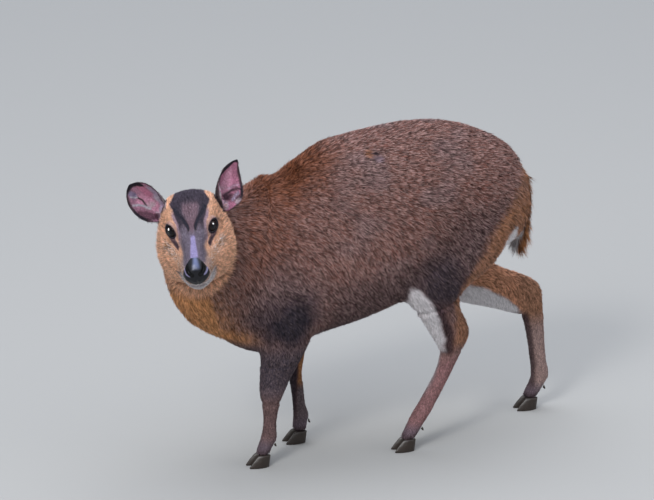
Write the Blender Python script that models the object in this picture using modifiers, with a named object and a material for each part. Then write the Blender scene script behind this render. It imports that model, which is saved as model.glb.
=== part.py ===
"""A Reeves's muntjac doe at life size, walking, with its head turned to its left.

Metres, +Z up. The animal faces -X and its left side is at -Y. The origin is the middle of the
model's box on the floor. Sizes are over the coat, out to the tips of the hair.
"""

import math

import bmesh
import bpy
import numpy as np
from mathutils import Matrix, Vector

# Driving sizes
GAP = 0.0003
BODY_VOXEL = 0.005
BODY_TRIANGLES = 3900
EYE_RADIUS = 0.0117
HEAD_EYE_POINT = Vector((-0.1386, -0.1129, 0.402))
HEAD_TURN = math.radians(-107)
HEAD_PITCH = math.radians(19)
HEAD_ROLL = math.radians(9)

# The trunk in upright slices: x, top, bottom, half width
TRUNK = [
    (-0.088, 0.345, 0.245, 0.030),
    (-0.066, 0.392, 0.209, 0.052),
    (-0.032, 0.425, 0.184, 0.067),
    (0.000, 0.438, 0.173, 0.075),
    (0.030, 0.450, 0.175, 0.080),
    (0.060, 0.468, 0.184, 0.084),
    (0.110, 0.498, 0.197, 0.091),
    (0.160, 0.507, 0.209, 0.098),
    (0.210, 0.513, 0.226, 0.101),
    (0.255, 0.516, 0.245, 0.099),
    (0.300, 0.513, 0.262, 0.095),
    (0.338, 0.504, 0.277, 0.090),
    (0.374, 0.489, 0.290, 0.081),
    (0.406, 0.471, 0.303, 0.068),
    (0.430, 0.443, 0.322, 0.050),
    (0.443, 0.409, 0.345, 0.031),
]
# How much narrower than its middle the trunk is towards the back, as a share
TRUNK_PEAR = 0.13

# The neck along its axis: centre x, y, z, half height above and below it, half width
NECK = [
    (0.045, 0.000, 0.335, 0.125, 0.140, 0.076),
    (-0.005, -0.004, 0.330, 0.118, 0.138, 0.075),
    (-0.048, -0.014, 0.340, 0.100, 0.128, 0.070),
    (-0.084, -0.030, 0.358, 0.084, 0.112, 0.064),
    (-0.112, -0.054, 0.379, 0.070, 0.092, 0.057),
    (-0.128, -0.080, 0.392, 0.052, 0.066, 0.047),
]

# Legs in level slices: z, front x, back x, half width, with the leg's own middle y at that level
NEAR_FORE_LEG = [
    (0.345, -0.030, 0.085, 0.030, 0.050),
    (0.310, -0.034, 0.090, 0.035, 0.052),
    (0.270, -0.029, 0.087, 0.036, 0.052),
    (0.230, -0.018, 0.079, 0.032, 0.051),
    (0.205, -0.011, 0.074, 0.028, 0.049),
    (0.185, -0.0085, 0.067, 0.0250, 0.047),
    (0.166, -0.0080, 0.057, 0.0222, 0.046),
    (0.145, -0.0090, 0.045, 0.0197, 0.045),
    (0.125, -0.0100, 0.035, 0.0182, 0.045),
    (0.110, -0.0085, 0.028, 0.0168, 0.045),
    (0.095, -0.0045, 0.0230, 0.0138, 0.045),
    (0.075, -0.0030, 0.0190, 0.0116, 0.045),
    (0.058, -0.0040, 0.0182, 0.0117, 0.045),
    (0.045, -0.0070, 0.0195, 0.0136, 0.045),
    (0.034, -0.0108, 0.0130, 0.0128, 0.045),
    (0.026, -0.0140, 0.0095, 0.0130, 0.045),
    (0.020, -0.0160, 0.0080, 0.0128, 0.045),
]
NEAR_HIND_LEG = [
    (0.410, 0.305, 0.395, 0.026, 0.040),
    (0.385, 0.285, 0.408, 0.038, 0.043),
    (0.360, 0.265, 0.407, 0.044, 0.047),
    (0.330, 0.246, 0.396, 0.045, 0.052),
    (0.300, 0.226, 0.376, 0.041, 0.057),
    (0.280, 0.214, 0.352, 0.038, 0.059),
    (0.264, 0.213, 0.328, 0.035, 0.060),
    (0.248, 0.223, 0.3140, 0.0315, 0.060),
    (0.228, 0.2390, 0.3150, 0.0270, 0.059),
    (0.205, 0.2540, 0.3265, 0.0220, 0.057),
    (0.186, 0.2655, 0.3325, 0.0182, 0.056),
    (0.170, 0.2755, 0.3290, 0.0157, 0.055),
    (0.150, 0.2835, 0.3175, 0.0137, 0.054),
    (0.125, 0.2775, 0.3050, 0.0123, 0.053),
    (0.100, 0.2640, 0.2925, 0.0119, 0.052),
    (0.075, 0.2500, 0.2790, 0.0119, 0.051),
    (0.057, 0.2390, 0.2690, 0.0139, 0.050),
    (0.042, 0.2315, 0.2580, 0.0132, 0.050),
    (0.028, 0.2240, 0.2495, 0.0132, 0.050),
    (0.020, 0.2200, 0.2450, 0.0128, 0.050),
]
FAR_THIGH = [
    (0.410, 0.305, 0.402, 0.026, 0.040),
    (0.385, 0.290, 0.418, 0.038, 0.043),
    (0.360, 0.275, 0.424, 0.044, 0.047),
    (0.330, 0.266, 0.422, 0.045, 0.052),
    (0.300, 0.263, 0.412, 0.041, 0.056),
    (0.272, 0.268, 0.396, 0.037, 0.060),
    (0.250, 0.281, 0.372, 0.032, 0.060),
    (0.232, 0.303, 0.347, 0.022, 0.060),
]
# The far gaskin runs back almost level, in upright slices: x, top, bottom, half width, middle y
FAR_GASKIN = [
    (0.300, 0.300, 0.232, 0.028, 0.060),
    (0.335, 0.288, 0.204, 0.031, 0.060),
    (0.375, 0.272, 0.187, 0.029, 0.061),
    (0.410, 0.254, 0.177, 0.0255, 0.061),
    (0.440, 0.240, 0.166, 0.0220, 0.061),
    (0.465, 0.229, 0.160, 0.0185, 0.061),
    (0.484, 0.219, 0.165, 0.0155, 0.061),
    (0.493, 0.209, 0.183, 0.0100, 0.061),
]
FAR_HIND_CANNON = [
    (0.214, 0.4725, 0.4905, 0.0110, 0.061),
    (0.200, 0.4650, 0.4965, 0.0150, 0.061),
    (0.180, 0.4590, 0.4985, 0.0158, 0.062),
    (0.160, 0.4620, 0.5000, 0.0146, 0.063),
    (0.135, 0.4700, 0.5015, 0.0128, 0.065),
    (0.100, 0.4765, 0.5045, 0.0120, 0.068),
    (0.075, 0.4805, 0.5080, 0.0119, 0.070),
    (0.056, 0.4830, 0.5130, 0.0137, 0.072),
    (0.041, 0.4790, 0.5060, 0.0130, 0.073),
    (0.028, 0.4725, 0.4980, 0.0132, 0.074),
    (0.020, 0.4690, 0.4940, 0.0128, 0.074),
]
FAR_FORE_LEG = [
    (0.345, -0.020, 0.092, 0.030, 0.050),
    (0.310, -0.014, 0.104, 0.035, 0.052),
    (0.270, 0.000, 0.109, 0.036, 0.052),
    (0.230, 0.018, 0.111, 0.032, 0.051),
    (0.205, 0.030, 0.110, 0.028, 0.049),
    (0.185, 0.040, 0.1065, 0.0250, 0.047),
    (0.166, 0.048, 0.1020, 0.0222, 0.046),
    (0.145, 0.0555, 0.0970, 0.0197, 0.045),
    (0.125, 0.0620, 0.0930, 0.0175, 0.045),
    (0.110, 0.0680, 0.0925, 0.0155, 0.045),
    (0.095, 0.0735, 0.0945, 0.0132, 0.045),
    (0.075, 0.0760, 0.0965, 0.0116, 0.045),
    (0.058, 0.0780, 0.0990, 0.0117, 0.045),
    (0.045, 0.0785, 0.1040, 0.0136, 0.045),
    (0.034, 0.0780, 0.1015, 0.0128, 0.045),
    (0.026, 0.0770, 0.1005, 0.0130, 0.045),
    (0.020, 0.0760, 0.1000, 0.0128, 0.045),
]

# Where the upper legs end and the cannons begin
FORE_CANNON_TOP = 0.104
NEAR_HIND_CANNON_TOP = 0.158
FAR_HIND_CANNON_TOP = 0.162
LEG_OVERRUN = 0.02

# The head's length lines from the top of the head down: forward, half width, height
HEAD_LINES = {
    "crown": [
        (-0.085, 0, 0.025), (-0.070, 0, 0.0445), (-0.050, 0, 0.0570), (-0.030, 0, 0.0595),
        (-0.010, 0, 0.0540), (0.005, 0, 0.0485), (0.015, 0, 0.0450), (0.030, 0, 0.0400),
        (0.050, 0, 0.0345), (0.070, 0, 0.0300), (0.084, 0, 0.0265), (0.094, 0, 0.0210),
        (0.100, 0, 0.0140), (0.103, 0, 0.0060),
    ],
    "brow": [
        (-0.085, 0.018, 0.022), (-0.070, 0.0285, 0.0365), (-0.050, 0.0335, 0.0470),
        (-0.030, 0.0335, 0.0505), (-0.010, 0.0290, 0.0475), (0.005, 0.0245, 0.0435),
        (0.015, 0.0210, 0.0400), (0.030, 0.0160, 0.0355), (0.050, 0.0125, 0.0300),
        (0.070, 0.0115, 0.0258), (0.084, 0.0115, 0.0225), (0.094, 0.0110, 0.0170),
        (0.100, 0.0085, 0.0115), (0.103, 0.0045, 0.0055),
    ],
    "orbit": [
        (-0.085, 0.029, 0.009), (-0.070, 0.0405, 0.0150), (-0.050, 0.0475, 0.0190),
        (-0.030, 0.0490, 0.0210), (-0.010, 0.0430, 0.0230), (0.005, 0.0365, 0.0240),
        (0.015, 0.0305, 0.0240), (0.030, 0.0240, 0.0215), (0.050, 0.0190, 0.0180),
        (0.070, 0.0175, 0.0150), (0.084, 0.0178, 0.0130), (0.094, 0.0165, 0.0100),
        (0.100, 0.0125, 0.0075), (0.103, 0.0065, 0.0040),
    ],
    "cheek": [
        (-0.085, 0.034, -0.006), (-0.070, 0.0465, -0.013), (-0.050, 0.0545, -0.018),
        (-0.030, 0.0595, -0.021), (-0.010, 0.0605, -0.022), (0.005, 0.0565, -0.0205),
        (0.015, 0.0510, -0.0165), (0.030, 0.0420, -0.0120), (0.050, 0.0300, -0.0060),
        (0.070, 0.0235, -0.0010), (0.084, 0.0212, 0.0010), (0.094, 0.0190, 0.0010),
        (0.100, 0.0145, 0.0015), (0.103, 0.0075, 0.0015),
    ],
    "jaw": [
        (-0.085, 0.028, -0.028), (-0.070, 0.0385, -0.0420), (-0.050, 0.0450, -0.0530),
        (-0.030, 0.0480, -0.0600), (-0.010, 0.0475, -0.0620), (0.005, 0.0450, -0.0610),
        (0.015, 0.0415, -0.0580), (0.030, 0.0350, -0.0495), (0.050, 0.0250, -0.0385),
        (0.070, 0.0185, -0.0290), (0.084, 0.0160, -0.0210), (0.094, 0.0130, -0.0125),
        (0.100, 0.0095, -0.0065), (0.103, 0.0050, -0.0020),
    ],
    "throat": [
        (-0.085, 0, -0.036), (-0.070, 0, -0.0560), (-0.050, 0, -0.0690), (-0.030, 0, -0.0760),
        (-0.010, 0, -0.0780), (0.005, 0, -0.0755), (0.015, 0, -0.0715), (0.030, 0, -0.0625),
        (0.050, 0, -0.0515), (0.070, 0, -0.0415), (0.084, 0, -0.0315), (0.094, 0, -0.0190),
        (0.100, 0, -0.0095), (0.103, 0, -0.0030),
    ],
}
HEAD_SIDES = 30
HEAD_RINGS = 24
# The nose pad from above, forward and half width, and from the front, left and up
NOSE_PLAN = [
    (0.0805, 0.0055), (0.0830, 0.0088), (0.0860, 0.0130), (0.0885, 0.0175), (0.0905, 0.0220), (0.0920, 0.0265),
    (0.1200, 0.0275),
]
NOSE_FRONT = [
    (0.0280, 0.0360), (0.0280, 0.0100), (0.0235, 0.0040), (0.0165, -0.0015), (0.0095, -0.0070), (0.0030, -0.0115),
]
# The mouth: forward, and place round the head from 3 at the cheek line to 5 at the throat line
MOUTH_LINE = [(0.046, 3.36), (0.058, 3.48), (0.070, 3.66), (0.081, 3.92), (0.0900, 4.32), (0.0945, 5.0)]
MOUTH_GROOVE = 0.0013
NOSTRIL_POINT = Vector((0.0985, 0.0112, 0.0098))
GLAND_SLIT = [(0.0180, 2.16), (0.0245, 2.28), (0.0315, 2.41)]
GLAND_RADIUS = 0.0019

# The eyes, in the head's own directions: forward, left, up
EYE_PLACE = Vector((0.0045, 0.0264, 0.0272))
EYE_LOOK = Vector((0.67, 0.69, 0.27))
LID_HALF_WIDTH = 0.0110
LID_HALF_HEIGHT = 0.0094
LID_THICKNESS = 0.0014

# The ears: share of the length, cup radius, half angle of the cup in degrees, wall thickness
EAR_SECTIONS = [
    (0.00, 0.0115, 150, 0.0034),
    (0.12, 0.0160, 128, 0.0030),
    (0.28, 0.0225, 105, 0.0027),
    (0.45, 0.0268, 87, 0.0025),
    (0.62, 0.0280, 70, 0.0023),
    (0.78, 0.0268, 56, 0.0021),
    (0.90, 0.0225, 42, 0.0019),
    (0.97, 0.0175, 27, 0.0016),
    (1.00, 0.0140, 11, 0.0012),
]
# Each ear's root, where it points and where its cup faces, in the head's own directions, its length,
# how far its tip leans aside, and how much it narrows towards the tip
EAR_POSES = {
    "ear_left": (Vector((-0.054, 0.0430, 0.0150)), Vector((-0.36, 0.50, 0.79)), Vector((0.78, 0.50, 0.0)), 0.0765,
                 0.0095, 0.42),
    "ear_right": (Vector((-0.054, -0.0420, 0.0180)), Vector((0.0, -0.64, 0.76)), Vector((0.85, -0.10, 0.20)), 0.071,
                  0.0, 0.0),
}

# The tail hangs behind the rump: x, z, half width, half thickness
TAIL = [
    (0.4180, 0.431, 0.0140, 0.0100),
    (0.4330, 0.408, 0.0170, 0.0115),
    (0.4405, 0.379, 0.0195, 0.0120),
    (0.4405, 0.350, 0.0215, 0.0115),
    (0.4365, 0.318, 0.0205, 0.0105),
    (0.4300, 0.290, 0.0140, 0.0080),
    (0.4245, 0.273, 0.0070, 0.0045),
]
TAIL_LOCK_LENGTH = 0.034
TAIL_LOCK_WIDTH = 0.0115
TAIL_LOCK_THICKNESS = 0.0030

# The hooves and dew claws
HOOF_LENGTH = 0.034
HOOF_WIDTH = 0.0122
HOOF_SPLAY = math.radians(4)
HOOF_HEEL_SLOPE = 0.0025
# A claw's share of the hoof's height from the top down, and its length and width there as shares of the full ones
HOOF_RINGS = [(1.0, 0.60, 0.78), (0.86, 0.69, 0.93), (0.48, 0.86, 1.0), (0.10, 1.0, 1.0), (0.0, 0.97, 0.93)]
DEW_CLAW_RADIUS = 0.0042
DEW_CLAW_LENGTH = 0.011


def start():
    """Empties the scene and makes the two collections."""
    for old in list(bpy.data.objects):
        bpy.data.objects.remove(old)
    made = []
    for name in ("muntjac", "cutters"):
        collection = bpy.data.collections.new(name)
        bpy.context.scene.collection.children.link(collection)
        made.append(collection)
    return made


PARTS, CUTTERS = start()


def material(name, colour, roughness, metallic=0.0):
    made = bpy.data.materials.new(name)
    made.use_nodes = True
    shader = made.node_tree.nodes["Principled BSDF"]
    shader.inputs["Base Color"].default_value = (*colour, 1)
    shader.inputs["Roughness"].default_value = roughness
    shader.inputs["Metallic"].default_value = metallic
    made.diffuse_color = (*colour, 1)
    return made


COAT = material("brown_coat", (0.19, 0.085, 0.050), 0.85)
HEAD_COAT = material("ochre_coat", (0.45, 0.20, 0.075), 0.85)
LEG_COAT = material("grey_brown_coat", (0.14, 0.085, 0.065), 0.85)
TAIL_COAT = material("tail_coat", (0.30, 0.12, 0.045), 0.85)
EAR_SKIN = material("ear_skin", (0.42, 0.22, 0.24), 0.6)
NOSE_SKIN = material("nose_skin", (0.025, 0.025, 0.032), 0.3)
EYE_GLOSS = material("eye_gloss", (0.012, 0.007, 0.006), 0.05)
HORN = material("hoof_horn", (0.035, 0.030, 0.030), 0.45)


def interpolate(table, at):
    """A smooth curve through a table's rows, whose first column is the place, read at each place in at."""
    rows = np.array(table, float)
    order = np.argsort(rows[:, 0])
    knots, values = rows[order, 0], rows[order, 1:]
    steps = np.diff(knots)[:, None]
    slopes = np.diff(values, axis=0) / steps
    tangents = np.vstack([slopes[:1], (slopes[:-1] * steps[1:] + slopes[1:] * steps[:-1])
                          / (steps[:-1] + steps[1:]), slopes[-1:]])
    at = np.clip(np.asarray(at, float), knots[0], knots[-1])
    left = np.clip(np.searchsorted(knots, at, side="right") - 1, 0, len(knots) - 2)
    step = steps[left]
    t = ((at - knots[left])[:, None]) / step
    return ((2 * t**3 - 3 * t**2 + 1) * values[left] + (t**3 - 2 * t**2 + t) * step * tangents[left]
            + (3 * t**2 - 2 * t**3) * values[left + 1] + (t**3 - t**2) * step * tangents[left + 1])


def along(table, count):
    """A table's rows again, at count places spread evenly by their order."""
    rows = np.array(table, float)
    index = np.arange(len(rows))[:, None]
    return interpolate(np.hstack([index, rows]), np.linspace(0, len(rows) - 1, count))


def mesh_object(name, points, faces, collection=PARTS):
    mesh = bpy.data.meshes.new(name)
    mesh.from_pydata([tuple(p) for p in points], [], [tuple(f) for f in faces])
    made = bpy.data.objects.new(name, mesh)
    collection.objects.link(made)
    return made


def loft(name, rings, collection=PARTS):
    """A closed skin over rings of points, each with as many points, with a middle point at each end."""
    rings = np.asarray(rings, float)
    count, sides, _ = rings.shape
    points = [*rings.reshape(-1, 3), rings[0].mean(axis=0), rings[-1].mean(axis=0)]
    faces = []
    for i in range(count - 1):
        for j in range(sides):
            k = (j + 1) % sides
            faces.append((i * sides + j, i * sides + k, (i + 1) * sides + k, (i + 1) * sides + j))
    first, last = count * sides, count * sides + 1
    for j in range(sides):
        k = (j + 1) % sides
        faces.append((first, k, j))
        faces.append((last, (count - 1) * sides + j, (count - 1) * sides + k))
    made = mesh_object(name, points, faces, collection)
    face_out(made)
    return made


def leaf(name, outer, inner, collection=PARTS):
    """A closed thin wall between two grids of points, with strips round its four edges."""
    outer, inner = np.asarray(outer, float), np.asarray(inner, float)
    rows, across, _ = outer.shape
    under = rows * across
    faces = []
    for i in range(rows - 1):
        for j in range(across - 1):
            face = (i * across + j, i * across + j + 1, (i + 1) * across + j + 1, (i + 1) * across + j)
            faces.append(face)
            faces.append(tuple(under + k for k in reversed(face)))
    rim = [*range(across), *((i + 1) * across - 1 for i in range(1, rows)),
           *range(rows * across - 2, (rows - 1) * across - 1, -1),
           *(i * across for i in range(rows - 2, 0, -1))]
    for a, b in zip(rim, rim[1:] + rim[:1]):
        faces.append((b, a, under + a, under + b))
    made = mesh_object(name, [*outer.reshape(-1, 3), *inner.reshape(-1, 3)], faces, collection)
    face_out(made)
    return made


def face_out(obj):
    """Turns every face outwards."""
    shape = bmesh.new()
    shape.from_mesh(obj.data)
    bmesh.ops.recalc_face_normals(shape, faces=shape.faces)
    if shape.calc_volume(signed=True) < 0:
        bmesh.ops.reverse_faces(shape, faces=shape.faces)
    shape.to_mesh(obj.data)
    shape.free()


def rounded(angle, squareness):
    """A circle's two coordinates at an angle, drawn towards a square."""
    power = 2 / squareness
    return (np.sign(np.cos(angle)) * np.abs(np.cos(angle)) ** power,
            np.sign(np.sin(angle)) * np.abs(np.sin(angle)) ** power)


def angles(sides):
    return np.linspace(0, 2 * math.pi, sides, endpoint=False)


def level_slices(table, side, sides, count, squareness=2.15):
    """Rings of a leg from its level slices. side is -1 for the animal's left and 1 for its right."""
    across, deep = rounded(angles(sides), squareness)
    rings = []
    for z, front, back, half, middle in along(table, count):
        rings.append(np.stack([(front + back) / 2 + (back - front) / 2 * across,
                               side * middle + half * deep, np.full(sides, z)], axis=1))
    return rings


def upright_slices(table, sides, count, squareness=2.15, pear=0.0):
    """Rings of the trunk or the gaskin from its upright slices."""
    across, high = rounded(angles(sides), squareness)
    rings = []
    for x, top, bottom, half, *middle in along(table, count):
        y = (middle[0] if middle else 0.0) + half * across * (1 - pear * high)
        rings.append(np.stack([np.full(sides, x), y, (top + bottom) / 2 + (top - bottom) / 2 * high], axis=1))
    return rings


def neck_rings(sides, count):
    """Rings square to the neck's axis."""
    across, high = rounded(angles(sides), 2.1)
    rows = along(NECK, count)
    forward = np.gradient(rows[:, :3], axis=0)
    rings = []
    for row, tangent in zip(rows, forward):
        tangent = Vector(tangent).normalized()
        aside = tangent.cross(Vector((0, 0, 1))).normalized()
        upward = aside.cross(tangent)
        height = np.where(high > 0, row[3], row[4]) * high
        rings.append(np.array(row[:3]) + np.outer(across * row[5], aside) + np.outer(height, upward))
    return rings


def freeze(obj):
    """Makes the object's modifiers part of its mesh."""
    graph = bpy.context.evaluated_depsgraph_get()
    mesh = bpy.data.meshes.new_from_object(obj.evaluated_get(graph))
    obj.modifiers.clear()
    obj.data = mesh


def boolean(obj, tool, operation, solver="MANIFOLD", keep_tool=False):
    """Joins or cuts obj with tool, for good."""
    modifier = obj.modifiers.new(operation.lower(), "BOOLEAN")
    modifier.object = tool
    modifier.operation = operation
    modifier.solver = solver
    freeze(obj)
    if not keep_tool:
        bpy.data.objects.remove(tool)


def unite(obj, collection, solver="MANIFOLD"):
    """Joins every object of the collection to obj, for good."""
    modifier = obj.modifiers.new("union", "BOOLEAN")
    modifier.operand_type = "COLLECTION"
    modifier.collection = collection
    modifier.operation = "UNION"
    modifier.solver = solver
    freeze(obj)
    for piece in list(collection.objects):
        bpy.data.objects.remove(piece)
    bpy.data.collections.remove(collection)
    keep_largest(obj)


def loose_parts(obj):
    """The mesh's separate surfaces, each as a list of vertex indices."""
    shape = bmesh.new()
    shape.from_mesh(obj.data)
    shape.verts.ensure_lookup_table()
    seen = np.zeros(len(shape.verts), bool)
    parts = []
    for seed in shape.verts:
        if seen[seed.index]:
            continue
        stack, found = [seed], []
        seen[seed.index] = True
        while stack:
            vertex = stack.pop()
            found.append(vertex.index)
            for edge in vertex.link_edges:
                other = edge.other_vert(vertex)
                if not seen[other.index]:
                    seen[other.index] = True
                    stack.append(other)
        parts.append(found)
    shape.free()
    return parts


def keep_vertices(obj, wanted):
    shape = bmesh.new()
    shape.from_mesh(obj.data)
    wanted = set(wanted)
    bmesh.ops.delete(shape, geom=[v for v in shape.verts if v.index not in wanted], context="VERTS")
    shape.to_mesh(obj.data)
    shape.free()


def keep_largest(obj):
    """Keeps only the surface with the most points, which drops loose scraps and sealed hollows."""
    parts = loose_parts(obj)
    if len(parts) > 1:
        keep_vertices(obj, max(parts, key=len))


def keep_side(obj, point, normal):
    """Cuts the object by a plane, drops what the normal points to and closes the cut."""
    shape = bmesh.new()
    shape.from_mesh(obj.data)
    bmesh.ops.bisect_plane(shape, geom=[*shape.verts, *shape.edges, *shape.faces], dist=1e-7,
                           plane_co=point, plane_no=normal, clear_outer=True)
    rim = [e for e in shape.edges if e.is_boundary]
    bmesh.ops.holes_fill(shape, edges=rim, sides=0)
    bmesh.ops.triangulate(shape, faces=[f for f in shape.faces if len(f.verts) > 4])
    shape.to_mesh(obj.data)
    shape.free()
    face_out(obj)


def copy_of(obj, name, collection=PARTS):
    made = bpy.data.objects.new(name, obj.data.copy())
    collection.objects.link(made)
    return made


def offset_copy(obj, distance):
    """A cutter that stands off the object's surface by the distance."""
    made = copy_of(obj, obj.name + "_stand_off", CUTTERS)
    swell = made.modifiers.new("swell", "DISPLACE")
    swell.strength = distance
    swell.mid_level = 0
    freeze(made)
    return made


def tube(name, path, radius, collection=CUTTERS):
    """A round closed tube through the points of a path."""
    curve = bpy.data.curves.new(name, "CURVE")
    curve.dimensions = "3D"
    curve.bevel_depth = radius
    curve.bevel_resolution = 1
    curve.use_fill_caps = True
    line = curve.splines.new("POLY")
    line.points.add(len(path) - 1)
    for point, place in zip(line.points, path):
        point.co = (*place, 1)
    drawn = bpy.data.objects.new(name + "_line", curve)
    collection.objects.link(drawn)
    graph = bpy.context.evaluated_depsgraph_get()
    mesh = bpy.data.meshes.new_from_object(drawn.evaluated_get(graph))
    bpy.data.objects.remove(drawn)
    made = bpy.data.objects.new(name, mesh)
    collection.objects.link(made)
    shape = bmesh.new()
    shape.from_mesh(mesh)
    bmesh.ops.remove_doubles(shape, verts=shape.verts, dist=1e-6)
    shape.to_mesh(mesh)
    shape.free()
    face_out(made)
    return made


def ball(name, centre, sizes, segments=16, rings=10, turn=None, collection=PARTS):
    """An ellipsoid with the given half sizes, turned by a matrix if one is given."""
    shape = bmesh.new()
    bmesh.ops.create_uvsphere(shape, u_segments=segments, v_segments=rings, radius=1)
    placed = Matrix.Translation(centre) @ (turn.to_4x4() if turn else Matrix.Identity(4))
    bmesh.ops.transform(shape, verts=shape.verts, matrix=placed @ Matrix.Diagonal((*sizes, 1)))
    mesh = bpy.data.meshes.new(name)
    shape.to_mesh(mesh)
    shape.free()
    made = bpy.data.objects.new(name, mesh)
    collection.objects.link(made)
    face_out(made)
    return made


def turn_to(axis, near):
    """A rotation whose Z runs along axis, with X as near to the other direction as it can be."""
    z = Vector(axis).normalized()
    x = (Vector(near) - Vector(near).dot(z) * z).normalized()
    return Matrix((x, z.cross(x), z)).transposed()


# The head's frame

def head_frame():
    """The matrix from the head's own directions, forward, left and up, to the model's."""
    facing = Matrix.Rotation(HEAD_TURN, 3, "Z") @ Matrix.Rotation(HEAD_PITCH, 3, "Y")
    return Matrix.Translation(HEAD_EYE_POINT) @ (facing @ Matrix.Rotation(HEAD_ROLL, 3, "X")).to_4x4()


HEAD = head_frame()


def head_line_points(forward):
    """The points round the head at a place along it, down its left side and up its right."""
    left = [interpolate(line, [forward])[0] for line in HEAD_LINES.values()]
    return np.array([*left, *[(-y, u) for y, u in left[-2:0:-1]]])


def round_head(forward, place):
    """A point on the head at a place along it and a place round it, counted in lines from the crown."""
    lines = head_line_points(forward)
    i = int(math.floor(place))
    t = place - i
    a, b, c, d = (lines[(i + k) % len(lines)] for k in (-1, 0, 1, 2))
    y, u = 0.5 * ((2 * b) + (c - a) * t + (2 * a - 5 * b + 4 * c - d) * t**2 + (3 * b - a - 3 * c + d) * t**3)
    return Vector((forward, y, u))


def head_rings():
    spread = np.linspace(0, 1, HEAD_RINGS)
    forward = -0.085 + 0.188 * (1 - (1 - spread) ** 1.35)
    places = np.linspace(0, 10, HEAD_SIDES, endpoint=False)
    return [[HEAD @ round_head(f, p) for p in places] for f in forward]


def make_body():
    """Trunk, neck and upper legs as one skin, with soft transitions."""
    raw = [
        loft("trunk", upright_slices(TRUNK, 40, 46, pear=TRUNK_PEAR)),
        loft("neck", neck_rings(36, 24)),
        loft("fore_near", level_slices(cut_below(NEAR_FORE_LEG, FORE_CANNON_TOP), -1, 28, 34)),
        loft("fore_far", level_slices(cut_below(FAR_FORE_LEG, FORE_CANNON_TOP), 1, 28, 34)),
        loft("hind_near", level_slices(cut_below(NEAR_HIND_LEG, NEAR_HIND_CANNON_TOP), -1, 28, 36)),
        loft("thigh_far", level_slices(FAR_THIGH, 1, 28, 24)),
        loft("gaskin_far", upright_slices(FAR_GASKIN, 28, 24)),
        loft("hock_far", level_slices(cut_below(FAR_HIND_CANNON, FAR_HIND_CANNON_TOP), 1, 24, 12)),
    ]
    shape = bmesh.new()
    for piece in raw:
        shape.from_mesh(piece.data)
        bpy.data.objects.remove(piece)
    mesh = bpy.data.meshes.new("body")
    shape.to_mesh(mesh)
    shape.free()
    body = bpy.data.objects.new("body", mesh)
    PARTS.objects.link(body)
    remesh = body.modifiers.new("one_skin", "REMESH")
    remesh.mode = "VOXEL"
    remesh.voxel_size = BODY_VOXEL
    freeze(body)
    soften(body, rounds=14)
    thin = body.modifiers.new("fewer_faces", "DECIMATE")
    thin.ratio = BODY_TRIANGLES / (2 * len(body.data.polygons))
    freeze(body)
    return body


def cut_below(table, z):
    """The rows of a leg's table down to a little below a height."""
    lowest = z - LEG_OVERRUN
    kept = [row for row in table if row[0] > lowest]
    return [*kept, (lowest, *interpolate(table, [lowest])[0])]


def cut_above(table, z):
    """The rows of a leg's table from a height down."""
    kept = [row for row in table if row[0] < z - 0.004]
    return [(z, *interpolate(table, [z])[0]), *kept]


def soften(obj, rounds):
    """Evens out the skin where pieces meet, and leaves the thin legs as they are."""
    mesh = obj.data
    points = np.empty(len(mesh.vertices) * 3)
    mesh.vertices.foreach_get("co", points)
    points = points.reshape(-1, 3)
    ends = np.empty(len(mesh.edges) * 2, int)
    mesh.edges.foreach_get("vertices", ends)
    ends = ends.reshape(-1, 2)
    weight = np.clip((points[:, 2] - 0.16) / 0.08, 0.15, 1)[:, None]
    for _ in range(rounds):
        total = np.zeros_like(points)
        count = np.zeros(len(points))
        for a, b in ((0, 1), (1, 0)):
            np.add.at(total, ends[:, a], points[ends[:, b]])
            np.add.at(count, ends[:, a], 1)
        points += weight * 0.6 * (total / count[:, None] - points)
    mesh.vertices.foreach_set("co", points.ravel())
    mesh.update()


def slab(centre, normal, width, depth, upright):
    """A sheet one gap thick across the body, where a cut goes."""
    shape = bmesh.new()
    bmesh.ops.create_cube(shape, size=1)
    placed = Matrix.Translation(centre) @ turn_to(normal, upright).to_4x4()
    bmesh.ops.transform(shape, verts=shape.verts, matrix=placed @ Matrix.Diagonal((width, depth, GAP, 1)))
    mesh = bpy.data.meshes.new("cut")
    shape.to_mesh(mesh)
    shape.free()
    made = bpy.data.objects.new("cut", mesh)
    CUTTERS.objects.link(made)
    return made


# Each cut of the body: middle, normal, length, width, direction of the length
BODY_CUTS = [
    ((-0.030, -0.010, 0.330), (-0.94, -0.10, 0.33), 0.34, 0.26, (0.33, 0, 0.94)),
    ((0.023, -0.045, 0.1630), (0, 0, 1), 0.13, 0.075, (1, 0, 0)),
    ((0.076, 0.045, 0.1630), (0, 0, 1), 0.13, 0.075, (1, 0, 0)),
    ((0.283, -0.062, 0.2410), (-0.32, 0, 0.95), 0.125, 0.085, (1, 0, 0)),
    ((0.375, 0.062, 0.2440), (0.72, 0, -0.69), 0.140, 0.085, (0.69, 0, 0.72)),
]
# A point in each piece that the cuts leave
BODY_PIECES = {
    "torso": (0.200, 0.0, 0.370),
    "neck": (-0.080, -0.028, 0.360),
    "foreleg_left_upper": (0.018, -0.045, 0.134),
    "foreleg_right_upper": (0.076, 0.045, 0.134),
    "hind_leg_left_upper": (0.295, -0.058, 0.205),
    "hind_leg_right_upper": (0.440, 0.061, 0.205),
}
UPPER_LEG_ENDS = {
    "foreleg_left_upper": FORE_CANNON_TOP,
    "foreleg_right_upper": FORE_CANNON_TOP,
    "hind_leg_left_upper": NEAR_HIND_CANNON_TOP,
    "hind_leg_right_upper": FAR_HIND_CANNON_TOP,
}


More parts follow.
